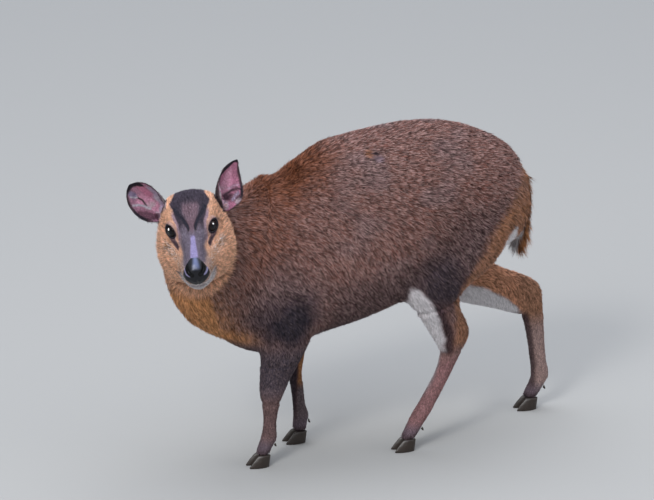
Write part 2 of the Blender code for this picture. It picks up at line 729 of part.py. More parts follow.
def part_body(body):
    """Parts the body by thin cuts and names the pieces."""
    for cut in BODY_CUTS:
        boolean(body, slab(*cut), "DIFFERENCE")
    points = np.array([v.co for v in body.data.vertices])
    pieces = {}
    for part in loose_parts(body):
        middle = (points[part].min(axis=0) + points[part].max(axis=0)) / 2
        name = min(BODY_PIECES, key=lambda n: np.linalg.norm(middle - np.array(BODY_PIECES[n])))
        if name not in pieces or len(part) > len(pieces[name]):
            pieces[name] = part
    made = {}
    for name, part in pieces.items():
        piece = copy_of(body, name)
        keep_vertices(piece, part)
        if name in UPPER_LEG_ENDS:
            end = Vector((0, 0, UPPER_LEG_ENDS[name] + GAP / 2))
            keep_side(piece, end, Vector((0, 0, -1)))
        face_out(piece)
        made[name] = piece
    bpy.data.objects.remove(body)
    return made


def make_cannons():
    """The lower legs, from the knee and hock down to the hooves."""
    legs = {
        "foreleg_left": (cut_above(NEAR_FORE_LEG, FORE_CANNON_TOP - GAP / 2), -1),
        "foreleg_right": (cut_above(FAR_FORE_LEG, FORE_CANNON_TOP - GAP / 2), 1),
        "hind_leg_left": (cut_above(NEAR_HIND_LEG, NEAR_HIND_CANNON_TOP - GAP / 2), -1),
        "hind_leg_right": (cut_above(FAR_HIND_CANNON, FAR_HIND_CANNON_TOP - GAP / 2), 1),
    }
    for name, (table, side) in legs.items():
        cannon = loft(name + "_cannon", level_slices(table, side, 12, 11))
        dew_claws(name, cannon, table, side)
        hooves(name, table[-1], side)


def dew_claws(name, cannon, table, side):
    """Two small horn cones behind the fetlock, each cut clear of the leg."""
    z = table[-1][0] + 0.016
    front, back, half, middle = interpolate(table, [z])[0]
    clear = offset_copy(cannon, GAP)
    for label, aside in (("outer", 1), ("inner", -1)):
        shape = bmesh.new()
        bmesh.ops.create_cone(shape, segments=8, radius1=DEW_CLAW_RADIUS, radius2=0.0012,
                              depth=DEW_CLAW_LENGTH, cap_ends=True)
        root = Vector((back - 0.0015, side * (middle + aside * half * 0.55), z))
        pointing = Vector((0.55, side * aside * 0.25, -0.80))
        placed = Matrix.Translation(root) @ turn_to(pointing, (0, 1, 0)).to_4x4()
        bmesh.ops.transform(shape, verts=shape.verts, matrix=placed)
        mesh = bpy.data.meshes.new("dew_claw")
        shape.to_mesh(mesh)
        shape.free()
        claw = bpy.data.objects.new(f"{name}_dew_claw_{label}", mesh)
        PARTS.objects.link(claw)
        boolean(claw, clear, "DIFFERENCE", keep_tool=True)
        keep_largest(claw)
    bpy.data.objects.remove(clear)


def hooves(name, foot, side):
    """The two claws of a cloven hoof, flat on the floor, with their toes forward."""
    z, front, back, half, middle = foot
    top = z - GAP
    for label, aside in (("outer", 1), ("inner", -1)):
        rings = []
        for share, long, wide in HOOF_RINGS:
            heel = back - 0.0012 - HOOF_HEEL_SLOPE * (1 - share)
            rings.append([hoof_point(a, heel, HOOF_LENGTH * long, HOOF_WIDTH * wide, top * share)
                          for a in angles(14)])
        rings = np.array(rings)
        middle_y = side * (middle + aside * (HOOF_WIDTH / 2 + GAP))
        inward = -side * aside
        rings[:, :, 1] = np.where(rings[:, :, 1] * inward > 0, rings[:, :, 1] * 0.80, rings[:, :, 1])
        turn = Matrix.Rotation(side * aside * -HOOF_SPLAY, 3, "Z")
        heel_point = Vector((back, 0, 0))
        placed = [[turn @ (Vector(p) - heel_point) + heel_point + Vector((0, middle_y, 0)) for p in ring]
                  for ring in rings]
        loft(f"{name}_hoof_{label}", placed)


def hoof_point(angle, heel, length, width, z):
    """A point of a claw's outline, round at the heel and pointed at the toe."""
    x = math.cos(angle)
    taper = 1 - 0.62 * max(0.0, -x) ** 1.6
    return (heel - length / 2 + length / 2 * x, width / 2 * math.sin(angle) * taper, z)


# The head, with its eyes, ears and nose

def head_vector(forward, left, upward):
    """A direction given in the head's own directions, in the model's."""
    return (HEAD.to_3x3() @ Vector((forward, left, upward))).normalized()


def mirrored(point, side):
    return Vector((point[0], side * point[1], point[2]))


def make_head():
    head = loft("head", head_rings())
    nose = copy_of(head, "nose_pad")
    boolean(nose, nose_block(-GAP / 2), "INTERSECT")
    boolean(head, nose_block(GAP / 2), "DIFFERENCE")
    cut_mouth(head)
    cut_nostrils(nose)
    for side, word in ((1, "left"), (-1, "right")):
        cut_gland(head, side)
        set_eye(head, side, word)
    keep_largest(head)
    for name, pose in EAR_POSES.items():
        make_ear(name, head, *pose)
    return head


def nose_block(spread):
    """The block that parts the nose pad from the muzzle, spread outwards by half the gap or drawn in by it."""
    plan = [(forward - spread, half + spread) for forward, half in NOSE_PLAN]
    plan = [*plan, *[(forward, -half) for forward, half in reversed(plan)]]
    block = loft("nose_block", [[HEAD @ Vector((forward, left, up)) for forward, left in plan]
                                for up in (-0.040, 0.050)], CUTTERS)
    front = [(left + spread, up - spread) for left, up in NOSE_FRONT]
    front = [*front, *[(-left, up) for left, up in reversed(front)]]
    boolean(block, loft("nose_front", [[HEAD @ Vector((forward, left, up)) for left, up in front]
                                       for forward in (0.070, 0.130)], CUTTERS), "INTERSECT")
    return block


def cut_mouth(head):
    """The line of the mouth, as a groove round the muzzle."""
    steps = along(MOUTH_LINE, 12)
    left = [round_head(f, p) for f, p in steps]
    right = [mirrored(p, -1) for p in left[-2::-1]]
    boolean(head, tube("mouth", [HEAD @ p for p in left + right], MOUTH_GROOVE), "DIFFERENCE")


def cut_gland(head, side):
    """The slit of the gland in front of the eye."""
    path = [HEAD @ mirrored(round_head(f, p), side) for f, p in along(GLAND_SLIT, 5)]
    boolean(head, tube("gland", path, GLAND_RADIUS), "DIFFERENCE")


def cut_nostrils(nose):
    """Two comma-shaped hollows, each a round hole and a slit that runs out and back from it."""
    for side in (1, -1):
        centre = HEAD @ mirrored(NOSTRIL_POINT, side)
        turn = turn_to(head_vector(1, side * 0.35, 0.1), head_vector(0, side * 0.55, 1))
        boolean(nose, ball("nostril", centre, (0.0048, 0.0034, 0.0065), 12, 8, turn, CUTTERS), "DIFFERENCE")
        tail = HEAD @ (mirrored(NOSTRIL_POINT, side) + Vector((-0.003, side * 0.0052, -0.0025)))
        turn = turn_to(head_vector(0.8, side * 0.6, 0), head_vector(-0.35, side * 0.8, -0.5))
        boolean(nose, ball("nostril_slit", tail, (0.0048, 0.0016, 0.0045), 10, 8, turn, CUTTERS), "DIFFERENCE")


def set_eye(head, side, word):
    """The lids over an eye, the opening between them, the socket and the eyeball in it."""
    centre = HEAD @ mirrored(EYE_PLACE, side)
    look = head_vector(EYE_LOOK.x, side * EYE_LOOK.y, EYE_LOOK.z)
    turn = turn_to(look, head_vector(1, 0, -0.25))
    radius = EYE_RADIUS + LID_THICKNESS + 0.003
    boolean(head, ball("lids", centre - look * 0.003, (radius * 1.08, radius, radius), 20, 12, turn, CUTTERS), "UNION")
    boolean(head, ball("socket", centre, (EYE_RADIUS + GAP,) * 3, 16, 10, turn, CUTTERS), "DIFFERENCE")
    rings = []
    for depth, spread in ((0.001, 0.78), (0.009, 1.0), (0.022, 1.42)):
        rings.append([centre + turn @ Vector((LID_HALF_WIDTH * spread * math.cos(angle),
                                              LID_HALF_HEIGHT * spread * almond(angle), depth))
                      for angle in angles(14)])
    boolean(head, loft("lid_opening", rings, CUTTERS), "DIFFERENCE")
    ball(f"eye_{word}", centre, (EYE_RADIUS,) * 3, 16, 10, turn)


def almond(angle):
    """The height of an eye's opening, round in the middle and drawn to a point at its corners."""
    return math.sin(angle) * (1 - 0.22 * math.cos(angle) ** 4)


def make_ear(name, head, root, pointing, facing_to, length, sway, narrowing):
    """A thin cupped leaf, rolled almost shut at its root and set on the head."""
    root = HEAD @ root
    axis = head_vector(*pointing)
    turn = turn_to(axis, head_vector(*facing_to))
    cup, aside = turn.col[0], turn.col[1]
    rows = along(EAR_SECTIONS, 10)
    across = 9
    outer, inner = [], []
    for share, radius, half_angle, wall in rows:
        lean = 0.10 * length * share**2
        middle = root + axis * float(length * share) + cup * float(radius * 0.55 - lean)
        middle = middle + aside * float(sway * share**2.5)
        half_angle = half_angle * (1 - narrowing * min(1.0, max(0.0, (share - 0.35) / 0.55)))
        for kept, r in ((outer, radius), (inner, radius - wall)):
            ring = []
            for t in np.linspace(-1, 1, across):
                angle = math.radians(half_angle) * t
                edge = 1 - 0.5 * wall / radius * abs(t) ** 6 * (1 if kept is outer else -1)
                ring.append(middle + (math.sin(angle) * aside - math.cos(angle) * cup) * float(r * edge))
            kept.append(ring)
    ear = leaf(name, outer, inner)
    stem = ball("stem", root + axis * 0.001, (0.0112, 0.0112, 0.0120), 12, 8, turn, CUTTERS)
    boolean(ear, stem, "UNION")
    boolean(ear, offset_copy(head, GAP), "DIFFERENCE")
    keep_largest(ear)
    face_out(ear)


# The tail, with its fringe of long hair

def lock(name, root, pointing, flat, length, width, thickness, droop, collection):
    """A flat tapered lock of hair that bends towards droop."""
    rings = []
    pointing, flat = Vector(pointing).normalized(), Vector(flat).normalized()
    place = Vector(root)
    for share, swell in ((0.0, 0.8), (0.35, 1.0), (0.70, 0.72), (1.0, 0.10)):
        direction = (pointing + Vector(droop) * share).normalized()
        here = place + direction * length * share
        over = direction.cross(flat).normalized()
        wide, thick = width / 2 * swell, thickness / 2 * max(swell, 0.35)
        rings.append([here + over * wide, here + flat * thick, here - over * wide, here - flat * thick])
    return loft(name, rings, collection)


def make_tail(torso):
    """The tail hangs behind the rump, dark above and white below, with a fringe at its sides and tip."""
    across, high = rounded(angles(14), 2.2)
    rows = along(TAIL, 14)
    places = np.stack([rows[:, 0], np.zeros(len(rows)), rows[:, 1]], axis=1)
    tangents = np.gradient(places, axis=0)
    rings = []
    for place, tangent, (_, _, half, thick) in zip(places, tangents, rows):
        tangent = Vector(tangent).normalized()
        outward = Vector((0, 1, 0)).cross(tangent).normalized()
        rings.append(place + np.outer(across * half, (0, 1, 0)) + np.outer(high * thick, outward))
    tail = loft("tail", rings)
    locks = bpy.data.collections.new("tail_locks")
    bpy.context.scene.collection.children.link(locks)
    for index, share in enumerate(np.linspace(0.30, 0.93, 7)):
        at = share * (len(rows) - 1)
        low = min(int(at), len(rows) - 2)
        mix = at - low
        x, z, half, thick = rows[low] * (1 - mix) + rows[low + 1] * mix
        down = Vector(places[low + 1] - places[low]).normalized()
        outward = Vector((0, 1, 0)).cross(down).normalized()
        if outward.x < 0:
            outward = -outward
        length = TAIL_LOCK_LENGTH * (1.0 - 0.35 * abs(share - 0.62))
        for side in (1, -1):
            root = Vector((x, side * half * 0.55, z)) - down * 0.004
            lock(f"side_{index}_{side}", root, down + Vector((0, side * 0.62, 0)), outward, length,
                 TAIL_LOCK_WIDTH, TAIL_LOCK_THICKNESS, Vector((0, -side * 0.25, 0)), locks)
            if index % 2:
                root = Vector((x, side * half * 0.35, z)) - outward * thick * 0.45
                lock(f"under_{index}_{side}", root, down - outward * 0.42 + Vector((0, side * 0.15, 0)),
                     outward, length * 0.85, TAIL_LOCK_WIDTH, TAIL_LOCK_THICKNESS,
                     down * 0.3, locks)
    tip = Vector(places[-3])
    down = Vector(places[-1] - places[-3]).normalized()
    outward = Vector((0, 1, 0)).cross(down).normalized()
    for index, spread in enumerate(np.linspace(-0.42, 0.42, 5)):
        root = tip + Vector((0, spread * 0.016, 0))
        lock(f"tip_{index}", root, down + Vector((0, spread, 0)), outward,
             TAIL_LOCK_LENGTH * (1 - 0.5 * abs(spread)), TAIL_LOCK_WIDTH * 0.9, TAIL_LOCK_THICKNESS,
             Vector((0, -spread * 0.3, 0)), locks)
    unite(tail, locks)
    boolean(tail, offset_copy(torso, GAP), "DIFFERENCE")
    keep_largest(tail)
    return tail


def paint():
    """Gives each part its material and soft shading."""
    looks = {"head": HEAD_COAT, "nose_pad": NOSE_SKIN, "tail": TAIL_COAT, "torso": COAT, "neck": COAT}
    for part in PARTS.objects:
        if part.name in looks:
            look = looks[part.name]
        elif part.name.startswith("ear"):
            look = EAR_SKIN
        elif part.name.startswith("eye"):
            look = EYE_GLOSS
        elif "hoof" in part.name or "claw" in part.name:
            look = HORN
        else:
            look = LEG_COAT
        part.data.materials.clear()
        part.data.materials.append(look)
        part.data.shade_smooth()
        part.data.set_sharp_from_angle(angle=math.radians(45))


def centre_on_floor():
    """Moves every part so that the origin is the middle of the model's box, on the floor."""
    corners = np.array([v.co for part in PARTS.objects for v in part.data.vertices])
    low, high = corners.min(axis=0), corners.max(axis=0)
    shift = Vector((-(low[0] + high[0]) / 2, -(low[1] + high[1]) / 2, -low[2]))
    for part in PARTS.objects:
        part.location = shift


def main():
    pieces = part_body(make_body())
    make_cannons()
    head = make_head()
    boolean(pieces["neck"], offset_copy(head, GAP), "DIFFERENCE")
    keep_largest(pieces["neck"])
    make_tail(pieces["torso"])
    paint()
    centre_on_floor()


if __name__ == "__main__":
    main()
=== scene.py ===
# A Reeves's muntjac doe, walking, with her head turned to look at the camera.
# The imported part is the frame: the coat, skin, eyes and hooves built here stand inside it.
import math

import bmesh
import bpy
import numpy as np
from mathutils import Matrix, Vector
from mathutils.bvhtree import BVHTree


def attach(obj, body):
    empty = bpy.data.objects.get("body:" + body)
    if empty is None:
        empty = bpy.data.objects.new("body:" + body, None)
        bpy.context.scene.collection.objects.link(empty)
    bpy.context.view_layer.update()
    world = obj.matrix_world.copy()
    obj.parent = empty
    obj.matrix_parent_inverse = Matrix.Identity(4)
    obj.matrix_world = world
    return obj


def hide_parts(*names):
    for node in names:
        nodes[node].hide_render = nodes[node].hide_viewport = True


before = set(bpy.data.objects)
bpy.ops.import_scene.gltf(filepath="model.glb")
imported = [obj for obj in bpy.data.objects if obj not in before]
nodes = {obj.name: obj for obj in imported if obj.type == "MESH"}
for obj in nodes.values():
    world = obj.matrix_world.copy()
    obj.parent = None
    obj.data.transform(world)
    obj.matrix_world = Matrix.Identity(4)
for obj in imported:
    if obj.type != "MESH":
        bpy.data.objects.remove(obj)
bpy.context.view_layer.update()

# Places below are measured from the body's own origin; this moves them to the frame's.
bodyShift = np.array([-0.144585, 0.053963, 0.0])
tuftShare = 1.0
dice = np.random.default_rng(1903)


# Curves, masks and noise

def smooth(x, low, high):
    t = np.clip((np.asarray(x, float) - low) / (high - low), 0, 1)
    return t * t * (3 - 2 * t)


def fade(x, low, high):
    return 1 - smooth(x, low, high)


def band(x, low, high, soft):
    return smooth(x, low - soft, low + soft) * fade(x, high - soft, high + soft)


def blob(points, centre, radii, soft=0.35):
    away = np.sqrt((((points - np.array(centre)) / np.array(radii)) ** 2).sum(axis=1))
    return fade(away, 1 - soft, 1 + soft)


def curve(table, at):
    # A smooth line through the rows of a table, read at each place in at.
    rows = np.array(table, float)
    rows = rows[np.argsort(rows[:, 0])]
    knots, values = rows[:, 0], rows[:, 1:]
    steps = np.diff(knots)[:, None]
    slopes = np.diff(values, axis=0) / steps
    inner = (slopes[:-1] * steps[1:] + slopes[1:] * steps[:-1]) / (steps[:-1] + steps[1:])
    tangents = np.vstack([slopes[:1], inner, slopes[-1:]])
    at = np.clip(np.asarray(at, float), knots[0], knots[-1])
    left = np.clip(np.searchsorted(knots, at, side="right") - 1, 0, len(knots) - 2)
    step = steps[left]
    t = (at - knots[left])[:, None] / step
    return ((2 * t**3 - 3 * t**2 + 1) * values[left] + (t**3 - 2 * t**2 + t) * step * tangents[left]
            + (3 * t**2 - 2 * t**3) * values[left + 1] + (t**3 - t**2) * step * tangents[left + 1])


def widthAt(table, at):
    rows = np.array(table, float)
    return np.interp(at, rows[:, 0], rows[:, 1])


noiseGrid = np.random.default_rng(77).uniform(-1, 1, (24, 24, 24, 3))


def wander(points, size):
    # Soft random wandering in three channels, each within -1 to 1, with lumps of the given size.
    place = points / size + 1000
    cell = np.floor(place).astype(int)
    t = place - cell
    t = t * t * (3 - 2 * t)
    total = np.zeros((len(points), 3))
    for corner in range(8):
        step = np.array([corner & 1, corner >> 1 & 1, corner >> 2 & 1])
        weight = np.prod(np.where(step, t, 1 - t), axis=1)
        i, j, k = ((cell + step) % 24).T
        total += weight[:, None] * noiseGrid[i, j, k]
    return total


def unit(vectors):
    return vectors / np.maximum(np.linalg.norm(vectors, axis=-1, keepdims=True), 1e-9)


def lineDistance(points, path):
    # How far each point is from a path of points.
    nearest = np.full(len(points), 9.0)
    for a, b in zip(path[:-1], path[1:]):
        along = np.clip(((points - a) @ (b - a)) / max((b - a) @ (b - a), 1e-12), 0, 1)
        nearest = np.minimum(nearest, np.linalg.norm(points - (a + along[:, None] * (b - a)), axis=1))
    return nearest


# The head's own directions are forward, left and up

headPose = {"point": (-0.1386, -0.1129, 0.402), "turn": -107, "pitch": 19, "roll": 9}
eye = {"place": (0.0045, 0.0264, 0.0272), "look": (0.67, 0.69, 0.27), "radius": 0.0117,
       "halfWidth": 0.0110, "halfHeight": 0.0090, "lid": 0.0014}
headLines = {
    "crown": [
        (-0.085, 0, 0.025), (-0.070, 0, 0.0445), (-0.050, 0, 0.0570), (-0.030, 0, 0.0595),
        (-0.010, 0, 0.0540), (0.005, 0, 0.0485), (0.015, 0, 0.0450), (0.030, 0, 0.0400),
        (0.050, 0, 0.0345), (0.070, 0, 0.0300), (0.084, 0, 0.0265), (0.094, 0, 0.0210),
        (0.100, 0, 0.0140), (0.103, 0, 0.0060)],
    "brow": [
        (-0.085, 0.018, 0.022), (-0.070, 0.0285, 0.0365), (-0.050, 0.0335, 0.0470),
        (-0.030, 0.0335, 0.0505), (-0.010, 0.0290, 0.0475), (0.005, 0.0245, 0.0435),
        (0.015, 0.0210, 0.0400), (0.030, 0.0160, 0.0355), (0.050, 0.0125, 0.0300),
        (0.070, 0.0115, 0.0258), (0.084, 0.0115, 0.0225), (0.094, 0.0110, 0.0170),
        (0.100, 0.0085, 0.0115), (0.103, 0.0045, 0.0055)],
    "orbit": [
        (-0.085, 0.029, 0.009), (-0.070, 0.0405, 0.0150), (-0.050, 0.0475, 0.0190),
        (-0.030, 0.0490, 0.0210), (-0.010, 0.0430, 0.0230), (0.005, 0.0365, 0.0240),
        (0.015, 0.0305, 0.0240), (0.030, 0.0240, 0.0215), (0.050, 0.0190, 0.0180),
        (0.070, 0.0175, 0.0150), (0.084, 0.0178, 0.0130), (0.094, 0.0165, 0.0100),
        (0.100, 0.0125, 0.0075), (0.103, 0.0065, 0.0040)],
    "cheek": [
        (-0.085, 0.034, -0.006), (-0.070, 0.0465, -0.013), (-0.050, 0.0545, -0.018),
        (-0.030, 0.0595, -0.021), (-0.010, 0.0605, -0.022), (0.005, 0.0565, -0.0205),
        (0.015, 0.0510, -0.0165), (0.030, 0.0420, -0.0120), (0.050, 0.0300, -0.0060),
        (0.070, 0.0235, -0.0010), (0.084, 0.0212, 0.0010), (0.094, 0.0190, 0.0010),
        (0.100, 0.0145, 0.0015), (0.103, 0.0075, 0.0015)],
    "jaw": [
        (-0.085, 0.028, -0.028), (-0.070, 0.0385, -0.0420), (-0.050, 0.0450, -0.0530),
        (-0.030, 0.0480, -0.0600), (-0.010, 0.0475, -0.0620), (0.005, 0.0450, -0.0610),
        (0.015, 0.0415, -0.0580), (0.030, 0.0350, -0.0495), (0.050, 0.0250, -0.0385),
        (0.070, 0.0185, -0.0290), (0.084, 0.0160, -0.0210), (0.094, 0.0130, -0.0125),
        (0.100, 0.0095, -0.0065), (0.103, 0.0050, -0.0020)],
    "throat": [
        (-0.085, 0, -0.036), (-0.070, 0, -0.0560), (-0.050, 0, -0.0690), (-0.030, 0, -0.0760),
        (-0.010, 0, -0.0780), (0.005, 0, -0.0755), (0.015, 0, -0.0715), (0.030, 0, -0.0625),
        (0.050, 0, -0.0515), (0.070, 0, -0.0415), (0.084, 0, -0.0315), (0.094, 0, -0.0190),
        (0.100, 0, -0.0095), (0.103, 0, -0.0030)],
}
mouth = {"line": [(0.046, 3.36), (0.058, 3.48), (0.070, 3.66), (0.081, 3.92), (0.0900, 4.32), (0.0945, 5.0)],
         "depth": 0.0013, "width": 0.0010}
gland = {"slit": [(0.0180, 2.16), (0.0245, 2.28), (0.0315, 2.41)], "depth": 0.0018, "width": 0.0016}
brows = {"depth": 0.0008, "width": 0.0013}
noseBlock = {  # from above: forward and half width; from the front: left and up
    "plan": [(0.0805, 0.0055), (0.0830, 0.0088), (0.0860, 0.0130), (0.0885, 0.0175), (0.0905, 0.0220),
             (0.0920, 0.0265), (0.1200, 0.0275)],
    "front": [(0.0280, 0.0360), (0.0280, 0.0100), (0.0235, 0.0040), (0.0165, -0.0015), (0.0095, -0.0070),
              (0.0030, -0.0115)]}


def headMatrix():
    turn = Matrix.Rotation(math.radians(headPose["turn"]), 3, "Z")
    turn = turn @ Matrix.Rotation(math.radians(headPose["pitch"]), 3, "Y")
    turn = turn @ Matrix.Rotation(math.radians(headPose["roll"]), 3, "X")
    return np.array(turn), np.array(headPose["point"]) + bodyShift


headTurn, headPoint = headMatrix()


def fromHead(points):
    return np.asarray(points) @ headTurn.T + headPoint


def toHead(points):
    return (np.asarray(points) - headPoint) @ headTurn


def aroundHead(forward, place):
    # Points of the head at each place along it and each place round it, counted in lines from the crown.
    left = [curve(line, forward) for line in headLines.values()]
    lines = np.array([*left, *[side * (-1, 1) for side in left[-2:0:-1]]])
    start = np.floor(place).astype(int)
    t = (place - start)[:, None]
    a, b, c, d = (lines[(start + k) % len(lines), np.arange(len(forward))] for k in (-1, 0, 1, 2))
    side = 0.5 * (2 * b + (c - a) * t + (2 * a - 5 * b + 4 * c - d) * t**2 + (3 * b - a - 3 * c + d) * t**3)
    return np.column_stack([forward, side])


def headPath(table, count=24):
    rows = curve([(i, *row) for i, row in enumerate(table)], np.linspace(0, len(table) - 1, count))
    return aroundHead(rows[:, 0], rows[:, 1])


def headTop(table, count=30):
    # A path over the top of the head through rows of forward and left.
    rows = curve([(i, *row) for i, row in enumerate(table)], np.linspace(0, len(table) - 1, count))
    path = []
    for forward, left in rows:
        ring = aroundHead(np.full(80, forward), np.linspace(0, 2.2, 80))
        path.append([forward, left, np.interp(left, ring[:, 1], ring[:, 2])])
    return np.array(path)


def axes(along, near):
    # Three directions as columns, the last along one direction and the first near another.
    z = unit(np.array(along, float))
    x = unit(np.array(near, float) - np.dot(near, z) * z)
    return np.column_stack([x, np.cross(z, x), z])


def eyeFrame(side):
    # An eye's centre and its own three directions, in the head's: along the lids, up, and out.
    centre = np.array(eye["place"]) * (1, side, 1)
    look = np.array(eye["look"]) * (1, side, 1)
    return centre, axes(look, (1, 0, -0.25))


def eyeReach(local):
    # How far out each point lies from the nearer eye, where 1 is the edge of the lids' opening.
    reach = np.full(len(local), 9.0)
    for side in (1, -1):
        centre, way = eyeFrame(side)
        a, b, out = ((local - centre) @ way).T
        own = np.hypot(a / eye["halfWidth"], b / (0.93 * eye["halfHeight"]))
        reach = np.where(out > 0.003, np.minimum(reach, own), reach)
    return reach


def mirror(points):
    return np.asarray(points) * (1, -1, 1)


def addMesh(name, points, faces):
    mesh = bpy.data.meshes.new(name)
    mesh.from_pydata([tuple(p) for p in points], [], [tuple(f) for f in faces])
    mesh.validate()
    made = bpy.data.objects.new(name, mesh)
    bpy.context.scene.collection.objects.link(made)
    shape = bmesh.new()
    shape.from_mesh(mesh)
    bmesh.ops.recalc_face_normals(shape, faces=shape.faces)
    shape.to_mesh(mesh)
    shape.free()
    mesh.shade_smooth()
    return made


def gridFaces(rows, across, closed=True):
    i, j = np.meshgrid(np.arange(rows - 1), np.arange(across if closed else across - 1), indexing="ij")
    i, j = i.ravel(), j.ravel()
    k = (j + 1) % across
    return np.column_stack([i * across + j, i * across + k, (i + 1) * across + k, (i + 1) * across + j])


def loft(name, rings):
    # A closed skin over rings of points, with a middle point at each end.
    rings = np.asarray(rings, float)
    count, sides, _ = rings.shape
    faces = [tuple(f) for f in gridFaces(count, sides)]
    first, last = count * sides, count * sides + 1
    for j in range(sides):
        k = (j + 1) % sides
        faces.append((first, k, j))
        faces.append((last, (count - 1) * sides + j, (count - 1) * sides + k))
    return addMesh(name, [*rings.reshape(-1, 3), rings[0].mean(axis=0), rings[-1].mean(axis=0)], faces)


def pointsOf(obj):
    found = np.empty(len(obj.data.vertices) * 3)
    obj.data.vertices.foreach_get("co", found)
    return found.reshape(-1, 3)


def normalsOf(obj):
    found = np.empty(len(obj.data.vertices) * 3)
    obj.data.vertices.foreach_get("normal", found)
    return found.reshape(-1, 3)


def setAttribute(mesh, name, values):
    attribute = mesh.attributes.new(name, "FLOAT_VECTOR", "POINT")
    attribute.data.foreach_set("vector", np.asarray(values, np.float32).ravel())


def putPoints(obj, points):
    obj.data.vertices.foreach_set("co", np.asarray(points, float).ravel())
    obj.data.update()


def soften(obj, rounds, weight=1.0):
    # Evens out a surface, more where the weight is nearer 1.
    points = pointsOf(obj)
    ends = np.empty(len(obj.data.edges) * 2, int)
    obj.data.edges.foreach_get("vertices", ends)
    ends = ends.reshape(-1, 2)
    count = np.bincount(ends.ravel(), minlength=len(points))[:, None]
    weight = np.broadcast_to(weight, len(points))[:, None]
    for _ in range(rounds):
        total = np.zeros_like(points)
        for axis in range(3):
            total[:, axis] = (np.bincount(ends[:, 0], points[ends[:, 1], axis], len(points))
                              + np.bincount(ends[:, 1], points[ends[:, 0], axis], len(points)))
        points = points + weight * 0.6 * (total / np.maximum(count, 1) - points)
    putPoints(obj, points)


def freeze(obj):
    graph = bpy.context.evaluated_depsgraph_get()
    mesh = bpy.data.meshes.new_from_object(obj.evaluated_get(graph))
    obj.modifiers.clear()
    obj.data = mesh


def boolean(obj, tool, operation):
    modifier = obj.modifiers.new(operation.lower(), "BOOLEAN")
    modifier.object = tool
    modifier.operation = operation
    modifier.solver = "MANIFOLD"
    freeze(obj)
    bpy.data.objects.remove(tool)


def remesh(obj, size):
    modifier = obj.modifiers.new("remesh", "REMESH")
    modifier.mode = "VOXEL"
    modifier.voxel_size = size
    freeze(obj)


def ball(name, centre, sizes, turn, segments, rings):
    shape = bmesh.new()
    bmesh.ops.create_uvsphere(shape, u_segments=segments, v_segments=rings, radius=1)
    placed = Matrix.Translation(Vector(centre)) @ Matrix(turn).to_4x4()
    bmesh.ops.transform(shape, verts=shape.verts, matrix=placed @ Matrix.Diagonal((*sizes, 1)))
    mesh = bpy.data.meshes.new(name)
    shape.to_mesh(mesh)
    shape.free()
    mesh.shade_smooth()
    made = bpy.data.objects.new(name, mesh)
    bpy.context.scene.collection.objects.link(made)
    return made


print("stage: the frame is loaded")


# Each ear is a cupped leaf, rolled almost shut at its root

ears = {
    "sections": [  # share of the length, radius, half angle, wall
        (0.00, 0.0115, 150, 0.0034), (0.12, 0.0160, 128, 0.0030), (0.28, 0.0225, 105, 0.0027),
        (0.45, 0.0268, 87, 0.0025), (0.62, 0.0280, 70, 0.0023), (0.78, 0.0268, 56, 0.0021),
        (0.90, 0.0225, 42, 0.0019), (0.97, 0.0175, 27, 0.0016), (1.00, 0.0140, 11, 0.0012)],
    "left": {"root": (-0.054, 0.0430, 0.0150), "points": (-0.36, 0.50, 0.79), "opens": (0.78, 0.50, 0.0),
             "length": 0.0765, "sway": 0.0095, "narrowing": 0.42, "outer": 1},
    "right": {"root": (-0.054, -0.0420, 0.0180), "points": (0.0, -0.64, 0.76), "opens": (0.85, -0.10, 0.20),
              "length": 0.071, "sway": 0.0, "narrowing": 0.0, "outer": -1},
    "inset": 0.0007, "rows": 58, "across": 59,
}


def earShape(share, ear):
    # Radius, half angle and wall at a share of the ear's length, and where its middle stands.
    share = np.asarray(share)
    radius, angle, wall = curve(ears["sections"], share).T
    angle = np.radians(angle) * (1 - ear["narrowing"] * np.clip((share - 0.35) / 0.55, 0, 1))
    return radius, angle, wall, radius * 0.55 - 0.10 * ear["length"] * share**2, ear["sway"] * share**2.5


def earPlace(local, word):
    # Where points of the head lie on an ear: share of its length, place across, and distance from its wall.
    ear = ears[word]
    along = (local - ear["root"]) @ axes(ear["points"], ear["opens"])
    share = along[:, 2] / ear["length"]
    radius, angle, wall, middle, sway = earShape(np.clip(share, 0, 1), ear)
    cup, aside = along[:, 0] - middle, along[:, 1] - sway
    away = np.hypot(cup, aside) - radius + wall / 2
    across = np.arctan2(aside, -cup) / angle * ear["outer"]
    near = band(share, -0.02, 1.04, 0.015) * fade(np.abs(across), 1.10, 1.25)
    hollow = 0.016 * fade(share, 0.16, 0.34)
    near = near * fade(away, 0.004, 0.006) * smooth(away + hollow, -0.006, -0.004)
    return share, across, away, near


tailLine = [  # x, z, half width and half thickness
    (0.4180, 0.431, 0.0130, 0.0095), (0.4325, 0.408, 0.0160, 0.0110), (0.4395, 0.379, 0.0185, 0.0115),
    (0.4395, 0.350, 0.0200, 0.0110), (0.4360, 0.318, 0.0185, 0.0095), (0.4310, 0.295, 0.0125, 0.0070)]


def tailAt(z):
    # How far back the tail's middle is at each height.
    rows = np.array(tailLine)[::-1]
    return np.interp(z, rows[:, 1], rows[:, 0])


# Where each marking lies, in the body's own places and the head's

markNames = ["russet", "ochre", "pale", "dark", "ash", "lilac", "pink", "fleck", "grizzle"]

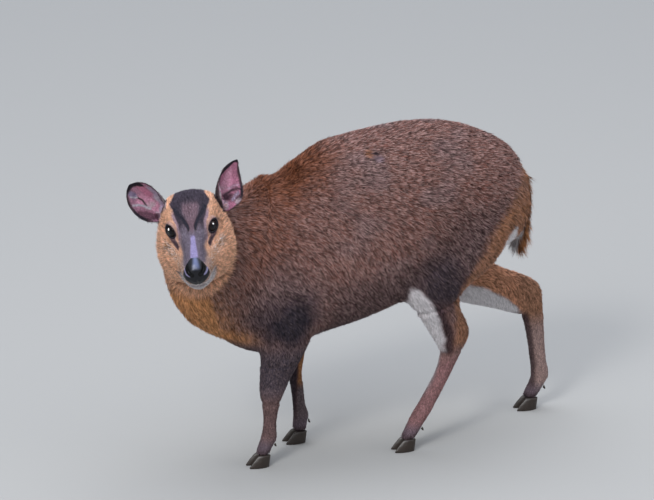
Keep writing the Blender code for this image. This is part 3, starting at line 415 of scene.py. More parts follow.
trunkBelly = [  # along, and the height of the belly's line
    (-0.110, 0.285), (-0.077, 0.216), (-0.051, 0.204), (-0.035, 0.194), (-0.015, 0.180), (0.010, 0.173),
    (0.060, 0.185), (0.110, 0.197), (0.160, 0.209), (0.210, 0.226), (0.255, 0.245), (0.300, 0.262),
    (0.400, 0.300)]
hindMarks = {  # mostly height, and how far back the marking's edge is there
    "whiteFront": [(0.160, 0.288), (0.1835, 0.2865), (0.2075, 0.2775), (0.232, 0.2655), (0.254, 0.2530),
                   (0.268, 0.2430), (0.274, 0.2330)],
    "orangeRear": [(0.235, 0.302), (0.2675, 0.306), (0.284, 0.315), (0.305, 0.334), (0.330, 0.358)],
    "gaskinStripe": [(0.270, -0.084, 0.235), (0.276, -0.082, 0.218), (0.288, -0.076, 0.198),
                     (0.295, -0.071, 0.178), (0.2935, -0.066, 0.160)],
    "rumpLine": [(0.302, 0.331), (0.327, 0.341), (0.353, 0.357), (0.3775, 0.382), (0.401, 0.401),
                 (0.440, 0.430)],
    "wedge": [(0.310, 0.3790), (0.322, 0.3825), (0.332, 0.3870), (0.344, 0.3990), (0.352, 0.4080)],
    "farWhite": [(0.350, 0.232), (0.380, 0.2235), (0.400, 0.2150), (0.424, 0.1985), (0.441, 0.1855),
                 (0.458, 0.168)],
    "shank": [(0.040, 0.484), (0.075, 0.484), (0.135, 0.475), (0.165, 0.4660)],
}
face = {  # forward, then half width from the marks' own middle line
    "middle": [(-0.050, 0.0014), (0.000, 0.0008), (0.040, 0.0010), (0.080, 0.0002)],
    "kite": [(-0.080, 0.0190), (-0.060, 0.0225), (-0.045, 0.0240), (-0.038, 0.0265), (-0.030, 0.0308),
             (-0.021, 0.0293), (-0.015, 0.0258), (-0.006, 0.0248), (0.0035, 0.0226), (0.011, 0.0195),
             (0.0175, 0.0188), (0.030, 0.0190), (0.043, 0.0183), (0.062, 0.0174), (0.077, 0.0176),
             (0.095, 0.0130)],
    "lines": [(-0.013, 0.0231), (-0.002, 0.0175), (0.004, 0.0140), (0.0085, 0.0110), (0.0135, 0.0088),
              (0.019, 0.0066), (0.024, 0.0055), (0.029, 0.0052)],
    "lineReach": [(-0.013, 0.0036), (0.000, 0.0030), (0.019, 0.0027), (0.029, 0.0016)],
    "centre": [(-0.026, 0.0120), (-0.014, 0.0135), (-0.001, 0.0115), (0.010, 0.0075), (0.019, 0.0045),
               (0.030, 0.0030)],
    "stripe": [(0.034, 0.0020), (0.039, 0.0030), (0.056, 0.0038), (0.070, 0.0052), (0.090, 0.0056)],
    "tear": [(0.0120, 0.0330, 0.0190), (0.0220, 0.0300, 0.0180), (0.0290, 0.0275, 0.0165),
             (0.0340, 0.0262, 0.0150)],
    "corner": [(0.004, 0.0366, 0.0370), (-0.006, 0.0410, 0.0320), (-0.012, 0.0430, 0.0240)],
    "flecks": [(0.012, 0.044, 0.004), (0.030, 0.036, 0.004), (0.048, 0.028, 0.004), (0.066, 0.0245, -0.006),
               (0.080, 0.0225, 0.000)],
}
earPaint = {  # the mix inside, then strokes: mix, reach and softness, and a path of share and across
    "left": {"inside": {"pink": 0.72, "ash": 0.12, "lilac": 0.10, "dark": 0.02}, "strokes": [
        ({"lilac": 0.45, "pink": 0.75, "pale": 0.22}, 0.0060, 0.0030, [(0.03, -0.5), (0.03, 0.5)]),
        ({"pink": 0.90, "pale": 0.16}, 0.0075, 0.0040, [(0.30, 0.00), (0.50, 0.10), (0.70, 0.05)]),
        # Painted highlight along the fold's ridge, then painted shade in its crease and in the pocket below
        # it
        ({"lilac": 0.50, "pink": 0.50, "pale": 0.18}, 0.0016, 0.0010,
         [(0.38, 0.27), (0.46, 0.48), (0.52, 0.75)]),
        ({"dark": 0.88, "pink": 0.40}, 0.0014, 0.0009,
         [(0.25, 0.20), (0.35, 0.37), (0.45, 0.68), (0.46, 0.91)]),
        ({"dark": 0.80, "pink": 0.50}, 0.0048, 0.0025, [(0.17, 0.10), (0.24, 0.45), (0.30, 0.80)]),
        ({"lilac": 0.85, "pale": 0.20}, 0.0020, 0.0012, [(0.21, 0.59), (0.32, 0.63), (0.38, 0.73)]),
        ({"pale": 0.60, "lilac": 0.50}, 0.0011, 0.0007, [(0.24, -0.95), (0.50, -0.95)])]},
    "right": {"inside": {"pink": 0.52, "ash": 0.25, "lilac": 0.25, "pale": 0.05}, "strokes": [
        ({"lilac": 0.80, "pink": 0.22, "pale": 0.30}, 0.0095, 0.0040, [(0.18, -0.45), (0.55, -0.62)]),
        ({"pink": 0.75, "russet": 0.60}, 0.0060, 0.0030, [(0.50, -0.17), (0.79, -0.33)]),
        ({"ash": 0.70, "lilac": 0.55}, 0.0050, 0.0025, [(0.72, 0.36), (0.89, 0.60)]),
        ({"pink": 1.00, "pale": 0.16}, 0.0070, 0.0030, [(0.24, 0.05), (0.53, 0.24)]),
        # Painted shade in the pocket under the fold, then painted highlight and painted shade along the
        # fold's ridges and creases
        ({"dark": 0.75, "pink": 0.60}, 0.0060, 0.0022, [(0.10, 0.55), (0.28, 0.62), (0.40, 0.80)]),
        ({"pale": 0.50, "lilac": 0.55}, 0.0013, 0.0008,
         [(0.63, 0.75), (0.53, 0.49), (0.43, 0.36), (0.27, 0.27)]),
        ({"dark": 0.90}, 0.0010, 0.0007, [(0.64, 0.30), (0.51, 0.21), (0.37, 0.27)]),
        ({"pale": 0.55, "lilac": 0.55}, 0.0010, 0.0006, [(0.78, 0.63), (0.64, 0.30)]),
        ({"dark": 0.95}, 0.0050, 0.0020, [(0.80, -0.46), (0.99, -0.50)])]},
}


def blend(layers, mask, **mix):
    # Paints a mix of marks over what is there, as far as the mask goes.
    target = np.array([mix.get(name, 0.0) for name in markNames])
    layers += np.clip(mask, 0, 1)[:, None] * (target - layers)


def headness(points):
    # 1 on the head and 0 on the neck and body.
    f, l, u = toHead(points).T
    wide = widthAt([(-0.070, 0.050), (-0.045, 0.058), (-0.020, 0.066), (0.000, 0.072)], f)
    return smooth(f, -0.082, -0.060) * fade(np.hypot(l / wide, (u + 0.012) / 0.085), 1.0, 1.15)


hairPatches = {  # centre, radii, softness, strength, and the mix of marks
    "withers": ((0.045, 0, 0.462), (0.090, 0.070, 0.060), 0.5, 0.90,
                {"russet": 0.95, "dark": 0.08, "grizzle": 0.1}),
    "tuft": ((0.036, 0, 0.455), (0.034, 0.060, 0.030), 0.5, 1.00,
             {"russet": 1.0, "dark": 0.15, "grizzle": 0.05}),
    "shoulder": ((-0.010, 0, 0.370), (0.060, 0.16, 0.090), 0.6, 0.70, {"russet": 0.75, "grizzle": 0.45}),
    "haunch": ((0.330, 0, 0.352), (0.064, 0.3, 0.054), 0.5, 0.75,
               {"dark": 0.62, "russet": 0.4, "grizzle": 0.8}),
    "whorlRust": ((0.1690, 0, 0.4860), (0.0060, 1, 0.0050), 0.5, 0.70, {"russet": 0.95, "ochre": 0.20}),
    "whorlPale": ((0.1820, 0, 0.4790), (0.0070, 1, 0.0045), 0.6, 0.50, {"lilac": 0.30, "ash": 0.6}),
    "whorlDark": ((0.1790, 0, 0.4862), (0.0060, 1, 0.0018), 0.5, 0.90, {"dark": 0.9}),
    # Painted shade on the upper foreleg, round the dark elbow mark
    "foreleg": ((0.020, 0, 0.265), (0.058, 0.3, 0.060), 0.6, 0.70,
                {"dark": 0.72, "ash": 0.4, "grizzle": 0.7}),
    "elbow": ((0.026, 0, 0.238), (0.046, 0.3, 0.044), 0.5, 0.97,
              {"dark": 1.0, "lilac": 0.06, "grizzle": 0.15}),
    "thigh": ((0.270, 0, 0.268), (0.040, 0.3, 0.056), 0.5, 0.95, {"dark": 0.94, "grizzle": 0.25}),
}


def paintPatch(layers, points, name):
    centre, radii, soft, strength, mix = hairPatches[name]
    blend(layers, strength * blob(points, centre, radii, soft), **mix)


def paintTrunk(layers, p, rough, fine, belly, rump):
    x, _, z = p.T
    ragged = p + 0.010 * rough + 0.005 * fine
    blend(layers, np.ones(len(p)), russet=0.30, grizzle=1.0)
    greyer = smooth(rough[:, 1], 0.1, 0.7) * band(x, 0.10, 0.38, 0.04)
    blend(layers, 0.6 * greyer, ash=0.55, russet=0.1, grizzle=1.0)
    # Rusty withers, shoulder and rump
    for name in ("withers", "tuft", "shoulder", "haunch"):
        paintPatch(layers, ragged, name)
    blend(layers, 0.85 * rump * band(z, 0.27, 0.45, 0.02), russet=0.62, ochre=0.27, ash=0.10, grizzle=0.45)
    blend(layers, 0.75 * rump * band(z, 0.27, 0.385, 0.02), russet=0.80, ochre=0.36, grizzle=0.3)
    # A small whorl on the back
    for name in ("whorlRust", "whorlPale", "whorlDark"):
        paintPatch(layers, p * (1, 0, 1), name)
    # Painted shade under the side of the trunk and along the belly
    flankShade = fade(belly, 0.045, 0.130) * smooth(x, 0.06, 0.12) * (1 - 0.85 * rump)
    blend(layers, 0.86 * flankShade, dark=0.78, russet=0.2, grizzle=0.7)
    under = fade(belly, 0.004, 0.034) * smooth(x, 0.05, 0.09)
    blend(layers, 0.85 * under, dark=0.80, russet=0.35, grizzle=0.1)
    # Golden throat and chest
    front = z + 1.03 * (x + 0.118) - 0.3147 + 0.02 * rough[:, 0]
    gold = fade(front, -0.045, 0.055) * smooth(z, 0.15, 0.17) * fade(x, 0.02, 0.05)
    blend(layers, 0.85 * gold, ochre=0.50, russet=0.35, grizzle=0.6)
    keel = fade(belly, 0.006, 0.028) * fade(x, 0.00, 0.03)
    blend(layers, 0.9 * keel, ochre=0.62, russet=0.9)
    # Painted shade on the upper foreleg, then the dark elbow mark over it
    for name in ("foreleg", "elbow"):
        paintPatch(layers, ragged, name)


def paintForelegs(layers, p, near, far):
    # The near one dark, the far one orange with a dark front
    x, _, z = p.T
    foreleg = fade(x, 0.12, 0.15) * fade(z, 0.170, 0.215)
    blend(layers, foreleg * near, dark=0.74, ash=0.75, lilac=0.10, grizzle=0.4)
    blend(layers, foreleg * near * fade(z, 0.100, 0.140), dark=0.12, ash=0.45, russet=0.35, grizzle=0.2)
    blend(layers, foreleg * far, ochre=0.35, russet=0.7)
    blend(layers, foreleg * far * fade(z, 0.085, 0.105), ash=0.8, dark=0.18)
    blend(layers, foreleg * far * fade(x, 0.078, 0.084), dark=0.85)


def paintHindLegs(layers, p, rough, fine, near, far):
    # The near one has a dark patch, a white front and an orange rear
    x, y, z = p.T
    paintPatch(layers, p + 0.010 * rough + 0.005 * fine, "thigh")
    hind = near * smooth(x, 0.17, 0.20) * fade(z, 0.20, 0.26)
    blend(layers, hind, russet=0.42, ochre=0.16, ash=0.40, lilac=0.06, grizzle=0.3)
    stripe = fade(lineDistance(p, np.array(hindMarks["gaskinStripe"])), 0.004, 0.013)
    blend(layers, 0.85 * stripe * near, dark=0.84, russet=0.3)
    rear = smooth(x - widthAt(hindMarks["orangeRear"], z) + 0.004 * fine[:, 0], -0.010, 0.006)
    rear = rear * near * band(z, 0.165, 0.320, 0.012) * smooth(x, 0.29, 0.30)
    blend(layers, rear, ochre=0.26, russet=0.70, ash=0.15, grizzle=0.3)
    blend(layers, hind * fade(z, 0.13, 0.16), russet=0.30, ash=0.45, pink=0.14, ochre=0.18, grizzle=0.2)
    inner = smooth(y, -0.045, -0.035) * fade(y, 0.02, 0.03) * band(x, 0.228, 0.34, 0.008)
    white = fade(x - widthAt(hindMarks["whiteFront"], z) + 0.003 * fine[:, 1], -0.006, 0.004)
    white = np.maximum(white * near * smooth(x, 0.220, 0.228), inner) * band(z, 0.158, 0.2735, 0.006)
    blend(layers, white, pale=0.92, lilac=0.3)
    # The far one is orange above and white within, with a brown shank and a dark front
    farLeg = far * smooth(x, 0.33, 0.37) * fade(z, 0.24, 0.30)
    blend(layers, farLeg, ochre=0.60, russet=0.45, ash=0.10, pink=0.07, grizzle=0.2)
    blend(layers, farLeg * smooth(x, 0.44, 0.47), ochre=0.36, russet=0.60, ash=0.25)
    cannon = farLeg * fade(z, 0.13, 0.17) * smooth(x, 0.44, 0.46)
    blend(layers, cannon, russet=0.22, ash=0.42, ochre=0.30, pink=0.05, pale=0.16)
    within = fade(z - widthAt(hindMarks["farWhite"], x) + 0.003 * fine[:, 2], -0.005, 0.004)
    within = far * within * fade(y, 0.060, 0.072) * band(x, 0.30, 0.455, 0.008) * smooth(z, 0.150, 0.165)
    blend(layers, within, pale=0.95, lilac=0.25)
    shank = far * smooth(x, 0.44, 0.45) * fade(x - widthAt(hindMarks["shank"], z), 0.000, 0.006)
    blend(layers, 0.8 * shank * fade(z, 0.155, 0.175), dark=0.8)


def paintTail(layers, p, fine):
    # White beside the tail, and the tail rusty over its back and white beneath
    x, y, z = p.T
    side = np.abs(y)
    wedge = smooth(x - widthAt(hindMarks["wedge"], z) + 0.0015 * fine[:, 2], -0.002, 0.004)
    wedge = wedge * band(z, 0.285, 0.348, 0.004) * fade(x, 0.408, 0.412)
    blend(layers, wedge * smooth(side, 0.026, 0.036) * fade(y, 0.040, 0.050), pale=0.96, lilac=0.22)
    behind = x - tailAt(z)
    tail = smooth(x, 0.40, 0.42) * band(z, 0.24, 0.42, 0.01) * fade(side, 0.026, 0.034)
    tail = tail * smooth(behind, -0.016, -0.010)
    blend(layers, tail, russet=0.90, ochre=0.26)
    blend(layers, tail * fade(behind, -0.0075, -0.002) * fade(z, 0.335, 0.350), pale=1.0)


def paintBody(layers, p, rough, fine):
    x, y, z = p.T
    near, far = fade(y, -0.02, 0.0), smooth(y, 0.0, 0.02)
    belly = z - widthAt(trunkBelly, x)
    rump = x - widthAt(hindMarks["rumpLine"], z) + 0.008 * rough[:, 0] + 0.003 * fine[:, 0]
    paintTrunk(layers, p, rough, fine, belly, smooth(rump, -0.014, 0.014))
    paintForelegs(layers, p, near, far)
    paintHindLegs(layers, p, rough, fine, near, far)
    # White in the groin, and darker towards the hooves
    groin = band(x, 0.262, 0.36, 0.008) * fade(belly, 0.000, 0.016) * fade(np.abs(y), 0.040, 0.060)
    blend(layers, groin, pale=0.9, lilac=0.2)
    blend(layers, 0.75 * fade(z, 0.030, 0.050), dark=0.30, ash=0.7, lilac=0.15)
    blend(layers, 0.7 * fade(z, 0.020, 0.032), dark=0.75, ash=0.4)
    paintTail(layers, p, fine)


def paintHead(layers, local, rough, fine):
    f, l, u = local.T
    away = np.column_stack([f, np.abs(l), u])
    side = np.abs(l - widthAt(face["middle"], f))
    top = smooth(u, 0.006, 0.018)
    kite = widthAt(face["kite"], f)
    lids = eyeReach(local)
    blend(layers, np.ones(len(f)), ochre=0.88, russet=0.15, pale=0.10, pink=0.08, fleck=0.14)
    warmer = smooth(rough[:, 0] + fine[:, 0], 0.1, 0.9)
    blend(layers, 0.40 * warmer, ochre=0.95, pink=0.12, pale=0.12, fleck=0.2)
    # Muzzle, flecks, chin and lips
    muzzle = smooth(f + 0.004 * fine[:, 0], 0.046, 0.068) * smooth(u, -0.018, -0.008)
    blend(layers, 0.62 * muzzle, ash=0.70, ochre=0.45, pale=0.10, fleck=0.5)
    flecks = fade(lineDistance(away, np.array(face["flecks"])) + 0.002 * fine[:, 1], 0.003, 0.012)
    blend(layers, 0.8 * flecks, ochre=0.72, ash=0.15, russet=0.5, dark=0.10, fleck=0.85)
    # The white chin, greyed with ash as painted shade under the nose
    chin = fade(u + 0.0150 + 0.0022 * fine[:, 1], -0.0025, 0.0030) * smooth(f, 0.046, 0.062)
    blend(layers, chin, pale=0.80, ash=0.5, fleck=0.3)
    lips = fade(np.abs(u + 0.0125), 0.001, 0.0042) * smooth(f, 0.066, 0.080)
    blend(layers, 0.85 * lips, pale=0.92, lilac=0.15, fleck=0.25)
    # The bridge with its pale stripe
    loose = 0.0006 + 0.0016 * smooth(f, 0.010, 0.030)
    edge = side - kite - 1.6 * loose * fine[:, 2]
    # Beside the bridge: purple-grey, with a lilac tint that is a painted sky reflection
    besideGreyAndSheen = band(edge, -0.001, 0.0040, 0.0014) * band(f, -0.010, 0.036, 0.008) * top
    blend(layers, 0.65 * besideGreyAndSheen, ash=0.6, lilac=0.5)
    bridge = fade(edge, -1.5 * loose, 1.8 * loose) * smooth(f, 0.006, 0.020) * top
    blend(layers, bridge, ash=0.80, dark=0.42, lilac=0.22, fleck=0.10)
    # The pale stripe down the bridge, its lilac-blue partly a painted sky reflection
    stripe = fade(side - widthAt(face["stripe"], f), -0.0012, 0.0020) * smooth(f, 0.033, 0.042) * top
    blend(layers, stripe, lilac=0.97, ash=0.15)
    # The dark kite of the forehead, its lighter centre and the two black lines
    inKite = fade(edge, -0.0014, 0.0018) * fade(f, 0.012, 0.028) * smooth(u, 0.020, 0.030)
    blend(layers, inKite, dark=0.90, lilac=0.22, ash=0.2)
    centre = fade(side - widthAt(face["centre"], f) - 0.0014 * fine[:, 1], -0.0030, 0.0026)
    centre = centre * band(f, -0.020, 0.032, 0.008) * top
    blend(layers, 0.9 * centre, ash=0.55, dark=0.36, russet=0.45, pink=0.10, lilac=0.08)
    fan = np.arctan2(l - widthAt(face["middle"], f), 0.034 - f)
    streaks = smooth(np.sin(fan * 62 + 3.0 * fine[:, 0] + 2.0 * rough[:, 1]), 0.1, 0.9)
    streaks = streaks * smooth(fine[:, 2], -0.5, 0.3) * band(f, -0.024, 0.022, 0.010)
    streaks = streaks * fade(side, 0.012, 0.018)
    blend(layers, 0.18 * streaks * top, ash=0.75, ochre=0.30, lilac=0.40, pale=0.20)
    lines = np.abs(side - widthAt(face["lines"], f)) - widthAt(face["lineReach"], f)
    lines = fade(lines, -0.0014, 0.0012) * band(f, -0.018, 0.029, 0.004) * smooth(u, 0.026, 0.032)
    blend(layers, lines, dark=1.0)
    # Eyes, tear streaks and mouth
    corner = fade(lineDistance(away, np.array(face["corner"])), 0.0010, 0.0034)
    blend(layers, 0.75 * corner, dark=0.95)
    tear = fade(lineDistance(away, np.array(face["tear"])) + 0.0006 * fine[:, 0], 0.0026, 0.0056)
    blend(layers, 0.95 * tear, dark=0.93, russet=0.4, pink=0.2)
    blend(layers, 0.5 * fade(lids, 1.25, 1.75), ash=0.6, lilac=0.25, ochre=0.35, fleck=0.3)
    blend(layers, fade(lids, 1.08, 1.24), dark=0.98)
    slot = fade(lineDistance(away, headPath(mouth["line"], 40)), 0.0008, 0.0020)
    blend(layers, 0.85 * slot, dark=0.9)


def paintEar(layers, local, word, fine):
    share, across, away, near = earPlace(local, word)
    inside = fade(away, -0.0006, 0.0006)
    flat = np.column_stack([share * 0.075, across * 0.030])
    ear = np.zeros_like(layers)
    blend(ear, np.ones(len(share)), dark=0.88, russet=0.2, grizzle=0.2)
    blend(ear, 0.5 * smooth(-across, 0.85, 0.98) * band(share, 0.20, 0.52, 0.05), pale=0.5, lilac=0.4)
    blend(ear, inside, **earPaint[word]["inside"])
    blend(ear, inside * fade(away, -0.0045, -0.0025), pink=0.5, lilac=0.6, pale=0.40)
    for mix, reach, soft, path in earPaint[word]["strokes"]:
        distance = lineDistance(flat, np.array(path) * (0.075, 0.030))
        blend(ear, inside * fade(distance, reach - soft, reach + soft), **mix)
    hairs = inside * smooth(fine[:, 1] + 0.4 * fine[:, 0], 0.25, 0.6) * fade(share, 0.25, 0.45)
    blend(ear, 0.5 * hairs, pale=0.8, lilac=0.3)
    if word == "left":
        tip = smooth(share - (0.905 + 0.48 * np.minimum(across, 0)) + 0.02 * fine[:, 0], -0.015, 0.020)
        tip = np.maximum(tip, smooth(across, 0.80, 0.90) * smooth(share, 0.25, 0.38))
    else:
        tip = smooth(share + 0.05 * fine[:, 0] - 0.06 * np.minimum(across, 0), 0.82, 0.88)
        tip = tip + smooth(across + 0.08 * fine[:, 2], 0.74, 0.84) * smooth(share, 0.10, 0.25)
        tip = tip + smooth(-across, 0.88, 0.97)
    blend(ear, inside * tip, dark=0.95)
    layers += near[:, None] * (ear - layers)


def markings(points):
    # The share of each mark at each point, in three sets of three.
    local = toHead(points)
    rough, fine = wander(points, 0.035), wander(points, 0.012)
    layers, head = np.zeros((2, len(points), len(markNames)))
    paintBody(layers, points - bodyShift, rough, fine)
    paintHead(head, local, rough, fine)
    upward = np.clip(local[:, 2] - 0.02, 0, 0.03)
    onFace = headness(points) * smooth(local[:, 0] + 0.6 * upward, -0.064, -0.050)
    layers += onFace[:, None] * (head - layers)
    for word in ("left", "right"):
        paintEar(layers, local, word, fine)
    return np.split(np.clip(layers, 0, 1), 3, axis=1)


# How the coat lies: its direction, length, width, lift and how thickly it grows

coat = {  # widths and sizes in metres, lift and twist in degrees
    "perSquareCm": {"body": 71, "head": 128, "legs": 84, "tail": 80, "ears": 105},
    "width": {"body": 0.00095, "head": 0.00054, "legs": 0.00069, "tail": 0.0009, "ears": 0.0005},
    "lift": {"body": 19, "rump": 20, "head": 19, "cheeks": 28, "muzzle": 13, "legs": 14, "tail": 20,
             "ears": 16},
    "clump": 0.0042, "lock": 0.0022, "gather": 0.28, "twist": 55, "patch": 0.0015,
    "withersTuft": ((0.036, -0.004, 0.458), (0.020, 0.034, 0.022), 0.6),
}
regions = ["faceCoat", "earCoat", "neckCoat", "foreCoat", "middleCoat", "hindCoat", "rumpCoat",
           "foreLegCoat", "tailCoat", "crownCoat", "hindLegCoat"]


def lie(points, normals):
    # The way the hair points along the skin.
    p = points - bodyShift
    x, y, z = p.T
    local = toHead(points)
    onHead = headness(points)[:, None]
    down = np.tile([0.0, 0.0, -1.0], (len(p), 1))
    rear = np.tile([1.0, 0.0, -0.30], (len(p), 1))
    rear[:, 2] -= 0.9 * smooth(np.abs(y), 0.02, 0.10) * fade(z, 0.30, 0.47)
    neckWay = np.tile([0.50, 0.20, -0.85], (len(p), 1))
    neck = (fade(x, -0.03, 0.06) * smooth(z, 0.18, 0.24))[:, None]
    leg = fade(z, 0.17, 0.27)[:, None]
    rump = smooth(x, 0.39, 0.45)[:, None]
    body = rear * (1 - neck) + neckWay * neck
    body = body * (1 - rump) + (down + [0.25, 0, 0]) * rump
    body = body * (1 - leg) + (down + [0.12, 0, 0]) * leg
    outward = 0.55 * np.sign(local[:, 1]) * smooth(np.abs(local[:, 1]), 0.012, 0.05)
    face = np.column_stack([-np.ones(len(p)), outward, -1.1 * fade(local[:, 2], -0.05, 0.02)])
    chin = smooth(local[:, 0], 0.035, 0.060) * fade(local[:, 2], -0.028, -0.014)
    face = face + chin[:, None] * [-0.2, 0, -1.6]
    way = body * (1 - onHead) + face @ headTurn.T * onHead
    way = way + 0.22 * wander(points, 0.045) + 0.10 * wander(points, 0.014)
    way = way - normals * (way * normals).sum(axis=1, keepdims=True)
    return unit(way)


def coatLength(points):
    p = points - bodyShift
    x, _, z = p.T
    f, l, u = toHead(points).T
    onHead = headness(points)
    body = 0.0100 - 0.0052 * fade(z, 0.14, 0.26) - 0.0015 * fade(z, 0.02, 0.10)
    body = body + 0.004 * smooth(x, 0.36, 0.42) * smooth(z, 0.28, 0.34)
    body = body + 0.004 * fade(z, 0.022, 0.030)
    body = body + 0.003 * fade(x, -0.06, 0.02) * smooth(z, 0.18, 0.24)
    body = body + 0.007 * blob(p, *coat["withersTuft"])
    short = 0.0100 - 0.0066 * smooth(f, -0.005, 0.050)
    forehead = 0.0068 - 0.0038 * smooth(f, -0.050, 0.010)
    short = short + (forehead - short) * smooth(u, 0.018, 0.036)
    short = np.where(u < -0.012, short + 0.0035 * smooth(f, 0.03, 0.055), short)
    fromEye = np.linalg.norm(np.column_stack([f, np.abs(l), u]) - eye["place"], axis=1)
    short = short - (short - 0.0022) * fade(fromEye, 0.0145, 0.026)
    return body * (1 - onHead) + np.clip(short, 0.0022, 0.012) * onHead


def places(points):
    # Shares of the head, ears, legs and tail at each point.
    p = points - bodyShift
    x, y, z = p.T
    local = toHead(points)
    onEars = np.maximum(*[earPlace(local, word)[3] for word in ("left", "right")])
    onTail = smooth(x - tailAt(z), -0.0165, -0.0125) * smooth(x, 0.415, 0.425) * fade(np.abs(y), 0.026, 0.032)
    onTail = onTail * band(z, 0.24, 0.425, 0.008)
    return {"head": headness(points), "ears": onEars, "legs": fade(z, 0.16, 0.25), "tail": onTail}


def coatPlan(points):
    # Length, width, lift and thickness of growth at each root, and the piece it belongs to.
    at = places(points)
    p = points - bodyShift
    x, y, z = p.T
    f, l, u = toHead(points).T
    side = np.abs(l)

    def mix(key):
        total = np.full(len(p), float(coat[key]["body"]))
        for name in ("legs", "tail", "head", "ears"):
            total = total * (1 - at[name]) + coat[key][name] * at[name]
        return total

    length, width, lift, growth = coatLength(points), mix("width"), mix("lift"), mix("perSquareCm")
    rumpLift = coat["lift"]["rump"] - coat["lift"]["body"]
    lift = lift + rumpLift * smooth(x, 0.36, 0.42) * smooth(z, 0.27, 0.33)
    lift = lift + 24 * blob(p, *coat["withersTuft"])
    cheeks = at["head"] * fade(f, 0.005, 0.045) * fade(u, -0.005, 0.020)
    lift = lift + (coat["lift"]["cheeks"] - coat["lift"]["head"]) * cheeks
    lift = lift + (coat["lift"]["muzzle"] - coat["lift"]["head"]) * at["head"] * smooth(f, 0.02, 0.06)
    width = width * (1 - 0.30 * at["head"] * smooth(f, 0.02, 0.06))
    growth = growth * (1 + 0.5 * at["head"] * smooth(f, 0.00, 0.04))
    length = length * (1 - at["ears"]) + 0.0042 * at["ears"]
    tailLength = 0.016 + 0.012 * fade(z, 0.28, 0.34) + 0.008 * smooth(np.abs(y), 0.006, 0.018)
    length = length * (1 - at["tail"]) + tailLength * at["tail"]
    # Bare places: the eyes, the nose, the lips' line, the slits and the inside of the ears
    local = np.column_stack([f, side, u])
    fromEye = np.linalg.norm(local - eye["place"], axis=1)
    growth = growth * smooth(fromEye, eye["radius"] + 0.0013, eye["radius"] + 0.0017)
    lines = [(headPath(mouth["line"], 30), 0.0009), (headPath(gland["slit"]), 0.0017)]
    for path, reach in lines:
        growth = growth * smooth(lineDistance(local, path), reach * 0.7, reach * 1.2)
    for word in ("left", "right"):
        share, across, away, near = earPlace(toHead(points), word)
        inner = fade(away, -0.0006, 0.0006) * near
        pocket = smooth(across - 0.15 - 0.55 * share, 0.0, 0.12) * fade(share, 0.46, 0.58)
        edge = smooth(np.abs(across), 0.78, 0.92)
        hairy = np.maximum(np.maximum(edge, 0.6 * pocket), fade(share, 0.06, 0.16))
        growth = growth * (1 - inner * (1 - np.clip(hairy + 0.05, 0, 1)))
        length = length * (1 + inner * (0.9 * fade(share, 0.05, 0.3) + 0.4 * smooth(-across, 0.75, 0.95)))
    piece = np.digitize(x, [0.000, 0.128, 0.234, 0.330]) + 2
    legs = np.where(x < 0.19, regions.index("foreLegCoat"), regions.index("hindLegCoat"))
    piece = np.where(at["legs"] > 0.5, legs, piece)
    piece = np.where(at["tail"] > 0.5, regions.index("tailCoat"), piece)
    head = np.where(f > 0.003, regions.index("faceCoat"), regions.index("crownCoat"))
    piece = np.where(at["head"] > 0.5, head, piece)
    piece = np.where(at["ears"] > 0.5, regions.index("earCoat"), piece)
    length = np.minimum(length, 0.036)
    return length, width, np.radians(lift), growth, piece


def coatDepth(points):
    # How far the skin lies below the coat's outline.
    length, _, lift, _, piece = coatPlan(points)
    deepest = np.where(piece == regions.index("tailCoat"), 0.004, 0.009)
    return np.clip(0.95 * length * np.sin(lift) + 0.0002, 0.0004, deepest)


print("stage: the markings are ready")


# The skin: trunk, neck, legs and tail from the frame, and a finer head

legNames = ["foreleg_left", "foreleg_right", "hind_leg_left", "hind_leg_right"]
skinNodes = ["torso", "neck", *[leg + part for leg in legNames for part in ("_upper", "_cannon")]]
skinLook = {"bodyVoxel": 0.0036, "headRows": 225, "headAcross": 220}


def tailCore():
    rows = curve([(i, *row) for i, row in enumerate(tailLine)], np.linspace(0, len(tailLine) - 1, 24))
    places = np.column_stack([rows[:, 0], np.zeros(len(rows)), rows[:, 1]])
    tangents = unit(np.gradient(places, axis=0))
    turn = np.linspace(0, 2 * math.pi, 24, endpoint=False)
    rings = []
    for place, tangent, row in zip(places, tangents, rows):
        outward = np.cross((0, 1, 0), tangent)
        rings.append(place + bodyShift + np.outer(np.cos(turn) * row[2], (0, 1, 0))
                     + np.outer(np.sin(turn) * row[3], outward))
    return loft("tailCore", rings)


def headPlug():
    # A plain head inside the finer one, so that the neck runs into it.
    rings = []
    for forward in np.linspace(-0.085, -0.012, 22):
        ring = aroundHead(np.full(48, forward), np.linspace(0, 10, 48, endpoint=False))
        middle = ring.mean(axis=0)
        rings.append(fromHead(middle + (ring - middle) * (1 - 0.16 * float(smooth(forward, -0.066, -0.040)))))
    return loft("headPlug", rings)


def bodySkin():
    shape = bmesh.new()
    for name in skinNodes:
        shape.from_mesh(nodes[name].data)
    for core in (tailCore(), headPlug()):
        shape.from_mesh(core.data)
        bpy.data.objects.remove(core)
    outline = BVHTree.FromBMesh(shape)
    mesh = bpy.data.meshes.new("muntjacSkin")
    shape.to_mesh(mesh)
    shape.free()
    skin = bpy.data.objects.new("muntjacSkin", mesh)
    bpy.context.scene.collection.objects.link(skin)
    remesh(skin, skinLook["bodyVoxel"])
    # Each point is set below the frame's own surface by the coat's depth
    soften(skin, 4, 0.5)
    for rounds in (3, 1):
        points, normals = pointsOf(skin), normalsOf(skin)
        surface = np.array([outline.find_nearest(p)[0] for p in points])
        putPoints(skin, surface - normals * coatDepth(surface)[:, None])
        soften(skin, rounds, 0.35 + 0.65 * smooth(points[:, 2], 0.18, 0.28))
    return skin


